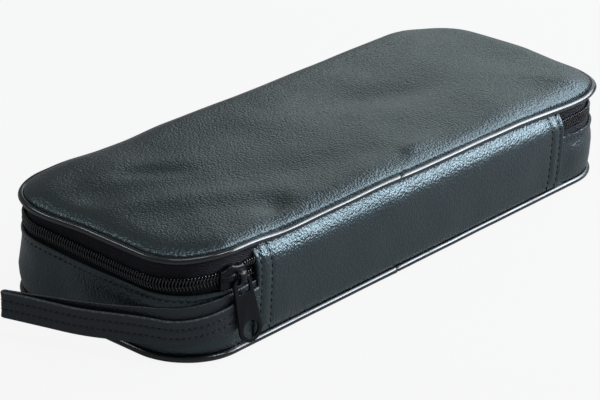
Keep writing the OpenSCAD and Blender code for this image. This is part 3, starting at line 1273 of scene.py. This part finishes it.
    def stiffening(self, frame: dict) -> None:
        """Gives the boards and the foam inside their finishes.

        Args:
            frame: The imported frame.
        """
        for node, finish in (("base_board", Finish.BOARD), ("wall_board", Finish.BOARD),
                             ("lid_board", Finish.BOARD), ("base_foam", Finish.FOAM)):
            mesh = frame["nodes"][node].data
            mesh.materials.clear()
            mesh.materials.append(self.finishes[finish])

    def build(self, frame: dict) -> None:
        """Makes every piece of the shell.

        Args:
            frame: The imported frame.
        """
        self.bottom()
        self.band()
        self.spine()
        self.hinge()
        self.linings()
        self.stiffening(frame)


@dataclass
class Zip(Assembly):
    """Woven tapes and rows of coil; the upper ones, but for their tails, ride on the lid."""

    pitch: float = 1.48
    tape: float = 0.55
    wire: float = 0.31
    reach: float = 1.56
    gap: float = 1.30
    near_split: float = 10.8
    far_split: float = 561.6
    near_bend: tuple = (-116.0, -138.0)
    far_bend: tuple = (111.0, 124.0)

    @property
    def stretches(self) -> tuple:
        """The upper zip's parts: ending of the name, first and last run, None at the zip's own end."""
        return (("", self.near_split, self.far_split), ("_near_tail", None, self.near_split),
                ("_far_tail", self.far_split, None))

    def parting(self, run: Array) -> Array:
        """How far each row of coil stands off its closed place, behind the slider."""
        return self.gap * (1 - ease(run, -9, 0.5))

    def bend(self, piece: bpy.types.Object, tail: str) -> None:
        """Bakes the placement of a tail of the upper zip into its mesh; the runs where it would turn from base
        to lid are looked up but not used.

        Args:
            piece: The tail.
            tail: The ending of its name.
        """
        first, last = self.near_bend if "near" in tail else self.far_bend
        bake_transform(piece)

    def strip(self, name: str, levels: Array, heights: Array, outs: Array, run: Array) -> bpy.types.Object:
        """Makes a woven strip.

        Args:
            name: The piece's name.
            levels: Heights of the weave's own coordinates, one for each row of points.
            heights: Heights for each run and row.
            outs: How far out the outer face lies, for each run and row.
            run: The runs.

        Returns:
            The piece.
        """
        front = self.outline.point(run[:, None], outs, heights)
        back = self.outline.point(run[:, None], outs[:, ::-1] - self.tape, heights[:, ::-1])
        rows = np.concatenate([levels, levels[::-1]])
        place = np.stack([
            np.broadcast_to(run[:, None], (len(run), len(rows))),
            np.broadcast_to(rows[None], (len(run), len(rows))),
            np.zeros((len(run), len(rows))),
        ], -1)
        pile = Pile()
        pile.add(np.concatenate([front, back], 1), place=place)
        return pile.piece(name)

    def tapes(self) -> None:
        """Makes the lower and the upper tape."""
        seat = self.seat
        run = self.outline.marks(seat.near_run - seat.tuck, seat.far_run + seat.tuck, 2.0)
        share = np.linspace(0, 1, 7)[None, :]
        foot = 28.7 + np.minimum(seat.band_rise.at(run)[:, None], 0) * 0.9
        low = foot + share * (36.7 - foot)
        sag = seat.sag.at(run)[:, None]
        heights = low + sag * ease(low, 30, 36)
        outs = -1.45 - seat.zip_in(run[:, None], heights) * ease(low, 29.5, 34)
        levels = 28.7 + share[0] * 8.0
        piece = self.strip("lower_tape_woven", levels, heights, outs, run)
        self.dress(piece, Finish.TAPE, Body.BASE, ("lower_zip_tape",))
        for tail, low_run, high_run in self.stretches:
            run = self.outline.marks(
                seat.near_run - seat.tuck if low_run is None else low_run,
                seat.far_run + seat.tuck if high_run is None else high_run,
                1.0 if tail else 2.0,
            )
            top = seat.lid_z + seat.lift.at(run)[:, None] - 0.35
            bottom = 38.3 + seat.sag.at(run)[:, None]
            heights = bottom + share * (top - bottom)
            lean = 0.10 * ripple(run, 0.0, 26, 71)[:, None] * np.sin(math.pi * share)
            outs = -1.62 - seat.zip_in(run[:, None], heights) * (1 - ease(share, 0.5, 1)) + lean
            outs = outs + 0.55 * ease(share, 0.3, 0.95) - 0.75 * ease(share, 0.93, 1.0)
            piece = self.strip("upper_tape_woven" + tail, levels + 20, heights, outs, run)
            nodes = {"": ("upper_zip_tape",), "_near_tail": ("upper_tape_tails",)}.get(tail, ())
            self.dress(piece, Finish.TAPE, None if tail else Body.LID, nodes)
            if tail:
                self.bend(piece, tail)

    def coil(self, upper: bool, low_run: float | None = None, high_run: float | None = None) -> Array:
        """Points of one row of coil.

        Args:
            upper: Whether it is the lid's row.
            low_run: Where it starts, or None for the near end.
            high_run: Where it ends, or None for the far end.

        Returns:
            Rows along the wire, columns round it.
        """
        seat = self.seat
        start, stop = seat.near_run + 0.4, seat.far_run - 0.4
        turns = (stop - start) / self.pitch
        t = np.arange(0, turns, 1 / 12) + (0.0 if upper else 0.5)
        run = start + t * self.pitch
        keep = np.ones(len(run), bool)
        if low_run is not None:
            keep &= run >= low_run
        if high_run is not None:
            keep &= run <= high_run + self.pitch / 12
        t, run = t[keep], run[keep]
        angle = 2 * math.pi * t
        sign = 1 if upper else -1
        middle = seat.zip_z + sign * (1.28 + self.parting(run)) + seat.sag.at(run)
        side = np.cos(angle)
        swing = np.sign(side) * np.abs(side) ** 0.82
        z = middle + sign * self.reach * swing
        out = -0.42 - seat.zip_in(run, np.full_like(run, seat.zip_z)) + 0.78 * np.sin(angle)
        path = self.outline.point(run - 0.30 * self.pitch * np.sin(2 * angle) * 0.5, out, z)
        return pipe(path, self.wire, self.outline.direction(run) + np.array([0, 0, 1e-3]), 6)

    def coils(self) -> None:
        """Makes both rows of coil."""
        pile = Pile()
        pile.add(self.coil(False))
        self.dress(pile.piece("lower_coil_wire", sharp=80), Finish.COIL, Body.BASE, ("lower_zip_coil",))
        for tail, low_run, high_run in self.stretches:
            pile = Pile()
            pile.add(self.coil(True, low_run, high_run))
            nodes = {"": ("upper_zip_coil",), "_near_tail": ("upper_coil_tails",)}.get(tail, ())
            piece = pile.piece("upper_coil_wire" + tail, sharp=80)
            self.dress(piece, Finish.COIL, None if tail else Body.LID, nodes)
            if tail:
                self.bend(piece, tail)

    def seams(self) -> None:
        """Makes the thread that holds each row of coil to its tape."""
        seat = self.seat
        rows = [(False, "", seat.near_run + 0.5, seat.far_run - 0.5)]
        for tail, low_run, high_run in self.stretches:
            rows.append((True, tail, seat.near_run + 0.5 if low_run is None else low_run,
                         seat.far_run - 0.5 if high_run is None else high_run))
        for upper, tail, low_run, high_run in rows:
            run = self.outline.marks(low_run, high_run, 2.0)
            sign = 1 if upper else -1
            thread = Pile()
            z = seat.zip_z + sign * (1.55 + self.parting(run)) + seat.sag.at(run)
            out = -0.42 + 0.86 - seat.zip_in(run, np.full_like(run, seat.zip_z)) + 0.12
            line = self.outline.point(run, out, z)
            stitches = Seam(pitch=self.pitch, share=0.55, thread=0.16, proud=0.10)
            stitches.sew(thread, line, self.outline.outward(run))
            piece = thread.piece(("upper" if upper else "lower") + "_coil_thread" + tail)
            self.dress(piece, Finish.THREAD, None if tail else Body.LID if upper else Body.BASE)
            if tail:
                self.bend(piece, tail)

    def build(self) -> None:
        """Makes tapes, coils and their thread."""
        self.tapes()
        self.coils()
        self.seams()


@dataclass
class Slider(Assembly):
    """The zip's slider, its bail and the hanging pull tab."""

    rear: float = 9.1
    nose: float = -4.2
    half_height: float = 4.9
    pivot: tuple = (-127.5, -62.5, 36.464)
    lean: float = 9.5
    stand: float = 4.5
    yaw: float = -8.0
    drop: tuple = (0.0, -0.55, 0.0)
    tab_length: float = 30.8
    tab_top: float = 9.6
    tab_end: float = 12.4
    tab_thick: float = 1.2
    tab_corner: float = 2.2
    tab_bevel: float = 0.24
    hole: float = 8.2
    window: tuple = (6.4, 5.8)

    def plate(self, pile: Pile, shape: Array, half: Array, run: Array) -> None:
        """Adds a plate whose half height changes along the run.

        Args:
            pile: Where it goes.
            shape: Section as out and share of the half height, with a margin in millimetres.
            half: Half height at each run, below and above.
            run: The runs.
        """
        out = np.broadcast_to(shape[None, :, 0], (len(run), len(shape)))
        up = np.where(shape[None, :, 1] > 0, half[:, 1:2], half[:, 0:1]) * np.sign(shape[None, :, 1])
        z = self.seat.zip_z + up - np.sign(shape[None, :, 1]) * shape[None, :, 2]
        pile.add(self.outline.point(run[:, None], out, z))

    def body(self) -> None:
        """Makes the two plates, the post and the crown."""
        run = np.linspace(self.nose, self.rear, 30)
        t = (run - self.nose) / (self.rear - self.nose)
        tip = np.clip(t / 0.16, 0, 1)
        tail = np.clip((1 - t) / 0.06, 0, 1)
        shape_low = self.half_height - 1.4 * (1 - np.sqrt(1 - (1 - tip) ** 2))
        shape_low = shape_low - 0.5 * (1 - np.sqrt(1 - (1 - tail) ** 2))
        waist = -0.7 * ease(t, 0.45, 0.9)
        crown = 1.35 * hump(t, 0.62, 0.20)
        half = np.stack([shape_low + waist, shape_low + waist + crown], 1)
        lips = np.array([
            (-1.1, -1, 0.0), (1.5, -1, 0.0), (2.0, -1, 0.35), (2.15, -1, 1.4),
            (2.15, 1, 1.4), (2.0, 1, 0.35), (1.5, 1, 0.0), (-1.1, 1, 0.0),
            (-1.1, 1, 0.95), (0.95, 1, 1.05), (0.95, -1, 1.05), (-1.1, -1, 0.95),
        ])
        pile = Pile()
        self.plate(pile, lips, half, run)
        flat = np.array([(-3.8, -1, 0.3), (-2.65, -1, 0.1), (-2.65, 1, 0.1), (-3.8, 1, 0.3)])
        self.plate(pile, flat, np.stack([shape_low, shape_low], 1), run)
        post = np.array([(-3.0, -1, 0.0), (1.2, -1, 0.0), (1.2, 1, 0.0), (-3.0, 1, 0.0)])
        self.plate(pile, post, np.full((6, 2), 0.42), np.linspace(self.nose + 0.3, self.nose + 2.6, 6))
        piece = pile.piece("slider_body", sharp=30)
        self.dress(piece, Finish.ENAMEL, Body.SLIDER, ("zip_slider",))
        self.soften(piece, 0.22)

    def bail(self) -> None:
        """Makes the arch that the tab hangs on, and the ridge that carries it."""
        pile = Pile()
        turn = np.linspace(0, math.pi, 25)
        out = 1.6 + 3.30 * np.sin(turn) ** 0.62
        z = self.seat.zip_z - 2.95 * np.sign(np.cos(turn)) * np.abs(np.cos(turn)) ** 0.7
        width = 1.5 + 0.35 * np.abs(np.cos(turn))
        rows = []
        for o, h, w, a in zip(out, z, width, turn):
            dz, do = -math.cos(a) * 0.45, math.sin(a) * 0.45
            section = [(-w, 0.6), (-w, -0.6), (-w + 0.3, -1), (w - 0.3, -1),
                       (w, -0.6), (w, 0.6), (w - 0.3, 1), (-w + 0.3, 1)]
            rows.append(self.outline.point(
                np.array([-p[0] for p in section]),
                np.array([o + do * p[1] for p in section]),
                np.array([h + dz * p[1] for p in section]),
            ))
        pile.add(np.stack(rows))
        ridge = np.linspace(1.8, self.rear - 0.6, 14)
        t = (ridge - ridge[0]) / (ridge[-1] - ridge[0])
        high = 2.1 + 1.15 * np.sin(math.pi * np.clip(0.12 + 0.80 * t, 0, 1)) ** 0.7
        rows = []
        for r, h, s in zip(ridge, high, t):
            w = 1.9 - 0.7 * s
            section = [(1.9, -w), (h - 0.35, -w + 0.15), (h, -w + 0.6),
                       (h, w - 0.6), (h - 0.35, w - 0.15), (1.9, w)]
            rows.append(self.outline.point(
                np.full(len(section), r), np.array([p[0] for p in section]),
                np.array([self.seat.zip_z + 0.9 + p[1] for p in section]),
            ))
        pile.add(np.stack(rows))
        piece = pile.piece("slider_bail", sharp=40)
        self.dress(piece, Finish.ENAMEL, Body.SLIDER)
        self.soften(piece, 0.12)

    def tab(self) -> None:
        """Makes the pull tab from its outline, window and hole."""
        top = self.tab_thick / 2
        radius = self.tab_end / 2
        end = top - self.tab_length + radius
        half = self.tab_top / 2
        turn = np.radians(np.linspace(180, 360, 33))
        shoulder = np.radians(np.linspace(0, 90, 9))
        outer = [(radius * math.cos(a), end + radius * math.sin(a)) for a in turn]
        r, brow = self.tab_corner, top + 0.35
        outer += [(half - r + r * math.cos(a), brow - r + r * math.sin(a)) for a in shoulder]
        outer += [(-half + r - r * math.sin(a), brow - r + r * math.cos(a)) for a in shoulder]
        circle = np.radians(np.linspace(0, 360, 40, endpoint=False))
        hole = [(self.hole / 2 * math.cos(a), end + self.hole / 2 * math.sin(a)) for a in circle]
        w, h = self.window[0] / 2, self.window[1]
        ceiling = top - self.tab_thick
        window = []
        for cx, cy, first in ((w - 1.1, ceiling - 0.9, 0), (-w + 1.1, ceiling - 0.9, 90),
                              (-w + 1.1, ceiling - h + 1.1, 180), (w - 1.1, ceiling - h + 1.1, 270)):
            for a in np.radians(np.linspace(first, first + 90, 7)):
                rise = 0.9 if first < 180 else 1.1
                window.append((cx + 1.1 * math.cos(a), cy + rise * math.sin(a)))
        curve = bpy.data.curves.new("tab_outline", "CURVE")
        curve.dimensions = "2D"
        curve.fill_mode = "BOTH"
        bevel = self.tab_bevel
        curve.extrude = (self.tab_thick / 2 - bevel) * MM
        curve.bevel_depth = bevel * MM
        curve.bevel_resolution = 2
        curve.offset = -bevel * MM
        for loop in (outer, hole, window):
            spline = curve.splines.new("POLY")
            spline.points.add(len(loop) - 1)
            for point, (x, y) in zip(spline.points, loop):
                point.co = (x * MM, y * MM, 0, 1)
            spline.use_cyclic_u = True
        drawn = bpy.data.objects.new("tab_drawn", curve)
        bpy.context.scene.collection.objects.link(drawn)
        bpy.context.view_layer.update()
        mesh = bpy.data.meshes.new_from_object(drawn.evaluated_get(bpy.context.evaluated_depsgraph_get()))
        bpy.data.objects.remove(drawn)
        mesh.transform(
            Matrix.Translation((Vector(self.pivot) + Vector(self.drop)) * MM)
            @ Matrix.Rotation(math.radians(self.yaw), 4, "Z")
            @ Matrix.Rotation(math.radians(-self.lean), 4, "Y")
            @ Matrix.Rotation(math.radians(90 - self.stand), 4, "X")
        )
        mend(mesh, merge=True)
        places = mesh.attributes.new("place", "FLOAT_VECTOR", "POINT")
        points = np.zeros(len(mesh.vertices) * 3, np.float32)
        mesh.vertices.foreach_get("co", points)
        places.data.foreach_set("vector", points)
        piece = shade("pull_tab_plate", mesh, 20)
        self.dress(piece, Finish.ENAMEL, Body.TAB, ("pull_tab",))

    def build(self) -> None:
        """Makes slider, bail and tab."""
        self.body()
        self.bail()
        self.tab()


@dataclass
class Strap(Assembly):
    """The wrist strap: one strip sewn in at the near seam, out along the corner and back."""

    width: float = 12.8
    thick: float = 1.35
    inner_out: float = 0.7
    outer_out: float = 2.4
    fold_run: float = 32.83
    free: float = 72.0
    fold: tuple = (-154.952, -43.222)
    heading: tuple = (-0.406737, 0.913545)

    @property
    def ahead(self) -> Array:
        """Unit vector along the free part."""
        return np.array([*self.heading, 0.0])

    @property
    def side(self) -> Array:
        """Unit vector out of the free part's outer face."""
        return np.array([-self.heading[1], self.heading[0], 0.0])

    def leg(self, outer: bool) -> tuple[Array, Array]:
        """Middle line of one leg, from the seam to the tip.

        Args:
            outer: Whether it is the outer leg.

        Returns:
            Points and outward normals.
        """
        out = self.outer_out if outer else self.inner_out
        run = np.linspace(self.seat.near_run, self.fold_run, 34)
        tops = [(-12, 29.0), (0, 26.8), (12, 23.6), (25, 21.2), (32.8, 20.9)] if outer else \
               [(-12, 31.6), (0, 30.8), (12, 29.0), (25, 26.4), (32.8, 25.6)]
        rise = np.interp(run, [t[0] for t in tops], [t[1] for t in tops]) - self.width / 2
        rise = smooth(rise)
        puff = 0.25 * ripple(run, 0.0, 30, 81 if outer else 82) * ease(run, -10, 4) * (1 if outer else 0)
        on_wall = self.outline.point(run, out + np.abs(puff), rise)
        normal_wall = self.outline.outward(run)
        heading, side = self.ahead, self.side
        along = np.linspace(2.0, self.free, 34)
        shift = 0.85 if outer else -0.85
        spread = 1.5 * np.sin(math.pi * np.clip(along / self.free, 0, 1)) ** 1.2 * (1 if outer else -0.25)
        start = rise[-1]
        drop = [(0, start), (16, 15.0), (36, 14.2), (54, 15.2), (72, 15.6)] if outer else \
               [(0, start), (16, 17.6), (36, 16.0), (54, 15.8), (72, 15.6)]
        level = np.interp(along, [d[0] for d in drop], [d[1] for d in drop])
        level = smooth(level)
        middle = np.array([*self.fold, 0.0])
        free = middle + along[:, None] * heading + (shift + spread)[:, None] * side
        free[:, 2] = level
        points = np.concatenate([on_wall, free])
        normals = np.concatenate([normal_wall, np.broadcast_to(side, free.shape)])
        return points, normals

    def route(self) -> tuple[Array, Array]:
        """Middle line of the whole strip.

        Returns:
            Its points and the normals of its finished side.
        """
        outer, outer_normal = self.leg(True)
        inner, inner_normal = self.leg(False)
        heading, side = self.ahead, self.side
        turn = np.linspace(0, math.pi, 13)[1:-1]
        tip = (outer[-1] + inner[-1]) / 2
        reach = float(np.linalg.norm((outer[-1] - inner[-1])[:2])) / 2
        bend = tip + reach * (np.cos(turn)[:, None] * side + np.sin(turn)[:, None] * heading)
        bend_normal = np.cos(turn)[:, None] * side + np.sin(turn)[:, None] * heading
        path = np.concatenate([outer, bend, inner[::-1]])
        normal = np.concatenate([outer_normal, bend_normal, -inner_normal[::-1]])
        return path, normal

    def section(self) -> Array:
        """Cross-section with two stitch grooves.

        Returns:
            Its points: along the width and out of the finished side.
        """
        w, t = self.width / 2, self.thick / 2
        face = []
        for v in np.linspace(-w + 0.5, w - 0.5, 27):
            groove = 0.26 * hump(abs(v), w / 3, 0.75)
            ridge = 0.22 * hump(abs(v), w - 0.9, 0.9)
            face.append((v, t + 0.10 * math.cos(v / w * 1.2) - groove + ridge))
        turn = np.radians(np.linspace(70, -70, 9))
        rim = [(w - 0.5 + 0.5 * math.cos(a), t * math.sin(a)) for a in turn]
        back = [(v, -t) for v in np.linspace(w - 0.5, -w + 0.5, 9)]
        other = [(-v, -o) for v, o in rim]
        return np.array(face + rim + back + other)

    def build(self) -> None:
        """Makes the strip and its two rows of stitches."""
        path, normal = self.route()
        section = self.section()
        up = np.array([0.0, 0.0, 1.0])
        along = travelled(path)
        width = 1 + 0.012 * ripple(along, 0.0, 31, 92)
        grid = (path[:, None] + section[None, :, 0:1] * width[:, None, None] * up
                + section[None, :, 1:2] * normal[:, None])
        place = np.stack([
            np.broadcast_to(along[:, None], grid.shape[:2]),
            np.broadcast_to(section[None, :, 0], grid.shape[:2]),
            np.broadcast_to(section[None, :, 1], grid.shape[:2]),
        ], -1)
        pile = Pile()
        pile.add(grid, place=place)
        piece = pile.piece("strap_strip")
        self.dress(piece, Finish.STRAP, None, ("strap_root", "strap_loop"))
        thread = Pile()
        for row in (-self.width / 6, self.width / 6):
            line = path + row * up + (self.thick / 2 - 0.10) * normal
            Seam(pitch=2.7, thread=0.22, proud=0.13).sew(thread, line, normal)
        stitches = thread.piece("strap_stitches")
        self.dress(stitches, Finish.THREAD, None)
        heading = self.ahead
        hinge = np.array([*self.fold, 15.0])
        for soft in (piece, stitches):
            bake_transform(soft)


# ---------------------------------------------------------------- studio


@dataclass(frozen=True)
class Lamp:
    """One soft light that faces the case and leaves out the pieces that it spares."""

    name: str
    place: tuple
    size: tuple
    glow: float
    colour: tuple
    spares: tuple = ()

    def hang(self) -> None:
        """Puts the light in the scene; its glow is the brightness of its face."""
        data = bpy.data.lights.new(self.name, "AREA")
        data.shape = "RECTANGLE"
        data.size, data.size_y = self.size
        data.energy = self.glow * math.pi * self.size[0] * self.size[1]
        data.color = self.colour
        lamp = bpy.data.objects.new(self.name, data)
        lamp.location = self.place
        aim = Vector((0, 0, 0.03)) - Vector(self.place)
        lamp.rotation_euler = aim.to_track_quat("-Z", "Y").to_euler()
        lamp.visible_camera = False
        bpy.context.scene.collection.objects.link(lamp)
        if self.spares:
            spared = bpy.data.collections.new(f"{self.name}_spares")
            lamp.light_linking.receiver_collection = spared
            for name in self.spares:
                spared.objects.link(bpy.data.objects[name])
            for entry in spared.collection_objects:
                entry.light_linking.link_state = "EXCLUDE"


@dataclass
class Studio:
    """Pale floor, soft lights, white surroundings and the camera."""

    azimuth: float = -50.1
    elevation: float = 23.8
    roll: float = 1.95
    place: tuple = (-0.791, -0.661, 0.4777)
    lens: float = 141.3
    shift: tuple = (-0.039, -0.034)
    floor_side: float = 6000.0
    floor_z: float = -0.05
    floor_shade: float = 0.28
    floor_white: tuple = (0.90, 0.10)
    world_white: tuple = (1.0, 0.06)
    world_glow: float = 0.12
    lamps: tuple = (
        Lamp("front_softbox", (1.12, -0.36, 0.92), (1.35, 0.60), 4.8, (0.80, 0.90, 1.0)),
        Lamp("front_strip", (1.02, -0.62, 0.66), (0.95, 0.22), 10.5, (0.84, 0.92, 1.0), ("lid_panel_skin",)),
        Lamp("front_low", (0.93, -0.87, 0.47), (0.80, 0.32), 12.5, (0.84, 0.91, 1.0), ("lid_panel_skin",)),
        Lamp("lid_edge", (1.02, -0.50, 0.80), (0.95, 0.20), 4.8, (0.84, 0.92, 1.0)),
        Lamp("side_strip", (0.30, -0.78, 1.02), (0.60, 0.24), 9.0, (0.86, 0.93, 1.0)),
        Lamp("back_wall", (1.58, 0.82, 0.60), (1.20, 0.80), 0.92, (0.88, 1.0, 0.98)),
        Lamp("back_left_strip", (-0.62, 0.86, 1.05), (0.60, 0.16), 7.5, (0.90, 0.96, 1.0)),
        Lamp("top_strip", (-0.25, -0.15, 1.6), (0.75, 0.32), 8.0, (0.93, 0.98, 1.0)),
    )

    def whiteness(self, nodes: Nodes, direct: float, mirrored: float) -> Signal:
        """How white the surroundings are for a ray.

        Args:
            nodes: The nodes of the material or world.
            direct: Share for the camera's own rays and those through glass.
            mirrored: Share for rays off a gloss.

        Returns:
            A mix factor.
        """
        rays = nodes.node("ShaderNodeLightPath")
        seen = [Signal(nodes.tree, rays.outputs[n]) for n in
                ("Is Camera Ray", "Is Transmission Ray", "Is Glossy Ray")]
        return (seen[0] + seen[1]).apply("MINIMUM", 1.0) * direct + seen[2] * mirrored

    def floor(self) -> None:
        """Makes the pale floor, which keeps a soft shadow."""
        pile = Pile()
        side = self.floor_side
        pile.add(np.array([[(x, y, self.floor_z) for x in (-side, side)] for y in (-side, side)]), tube=False)
        floor = pile.piece("floor")
        r = Recipe("pale_floor")
        r.surface(Base_Color=(*[self.floor_shade] * 3, 1), Roughness=0.9, Specular_IOR_Level=0.0)
        white = r.node("ShaderNodeEmission", None, {"Color": (1, 1, 1, 1), "Strength": 1.0})
        blend = r.node("ShaderNodeMixShader", None, {
            0: self.whiteness(r, *self.floor_white), 1: r.shader.outputs[0], 2: white.outputs[0],
        })
        r.feed(r.tree.nodes["Material Output"].inputs["Surface"], blend.outputs[0])
        floor.data.materials.append(r.material)

    def surroundings(self) -> None:
        """Makes the plain surroundings."""
        world = bpy.data.worlds.new("surroundings")
        bpy.context.scene.world = world
        world.use_nodes = True
        r = Nodes(world.node_tree)
        dim = r.node("ShaderNodeBackground", None, {"Color": (0.93, 0.97, 1.0, 1), "Strength": self.world_glow})
        white = r.node("ShaderNodeBackground", None, {"Color": (1, 1, 1, 1), "Strength": 1.0})
        blend = r.node("ShaderNodeMixShader", None, {
            0: self.whiteness(r, *self.world_white), 1: dim.outputs[0], 2: white.outputs[0],
        })
        r.feed(r.tree.nodes["World Output"].inputs["Surface"], blend.outputs[0])

    def camera(self) -> None:
        """Makes the camera."""
        a, e, roll = (math.radians(v) for v in (self.azimuth, self.elevation, self.roll))
        back = Vector((math.sin(a) * math.cos(e), -math.cos(a) * math.cos(e), math.sin(e)))
        level_right = (-back).cross(Vector((0, 0, 1))).normalized()
        level_up = level_right.cross(-back)
        right = math.cos(roll) * level_right + math.sin(roll) * level_up
        up = -math.sin(roll) * level_right + math.cos(roll) * level_up
        data = bpy.data.cameras.new("camera")
        data.lens, data.sensor_width = self.lens, 36.0
        data.shift_x, data.shift_y = self.shift
        data.clip_start, data.clip_end = 0.05, 50
        camera = bpy.data.objects.new("camera", data)
        turn = Matrix((right, up, back)).transposed().to_4x4()
        camera.matrix_world = Matrix.Translation(self.place) @ turn
        bpy.context.scene.collection.objects.link(camera)
        bpy.context.scene.camera = camera

    def build(self) -> None:
        """Makes camera, floor and surroundings."""
        self.camera()
        self.floor()
        self.surroundings()
        bpy.context.scene.view_settings.view_transform = "Standard"

    def light(self) -> None:
        """Hangs the lamps, once the pieces that some of them spare are there."""
        for lamp in self.lamps:
            lamp.hang()


def main() -> None:
    """Builds the case round its frame."""
    logging.basicConfig(level=logging.INFO, format="%(message)s")
    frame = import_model()
    seat = Seat()
    finishes = {finish: finish.material() for finish in Finish}
    studio = Studio()
    studio.build()
    PipedEdges(seat, finishes).build()
    Lid(seat, finishes).build()
    Shell(seat, finishes).build(frame)
    Zip(seat, finishes).build()
    Slider(seat, finishes).build()
    Strap(seat, finishes).build()
    studio.light()


if __name__ == "__main__":
    main()
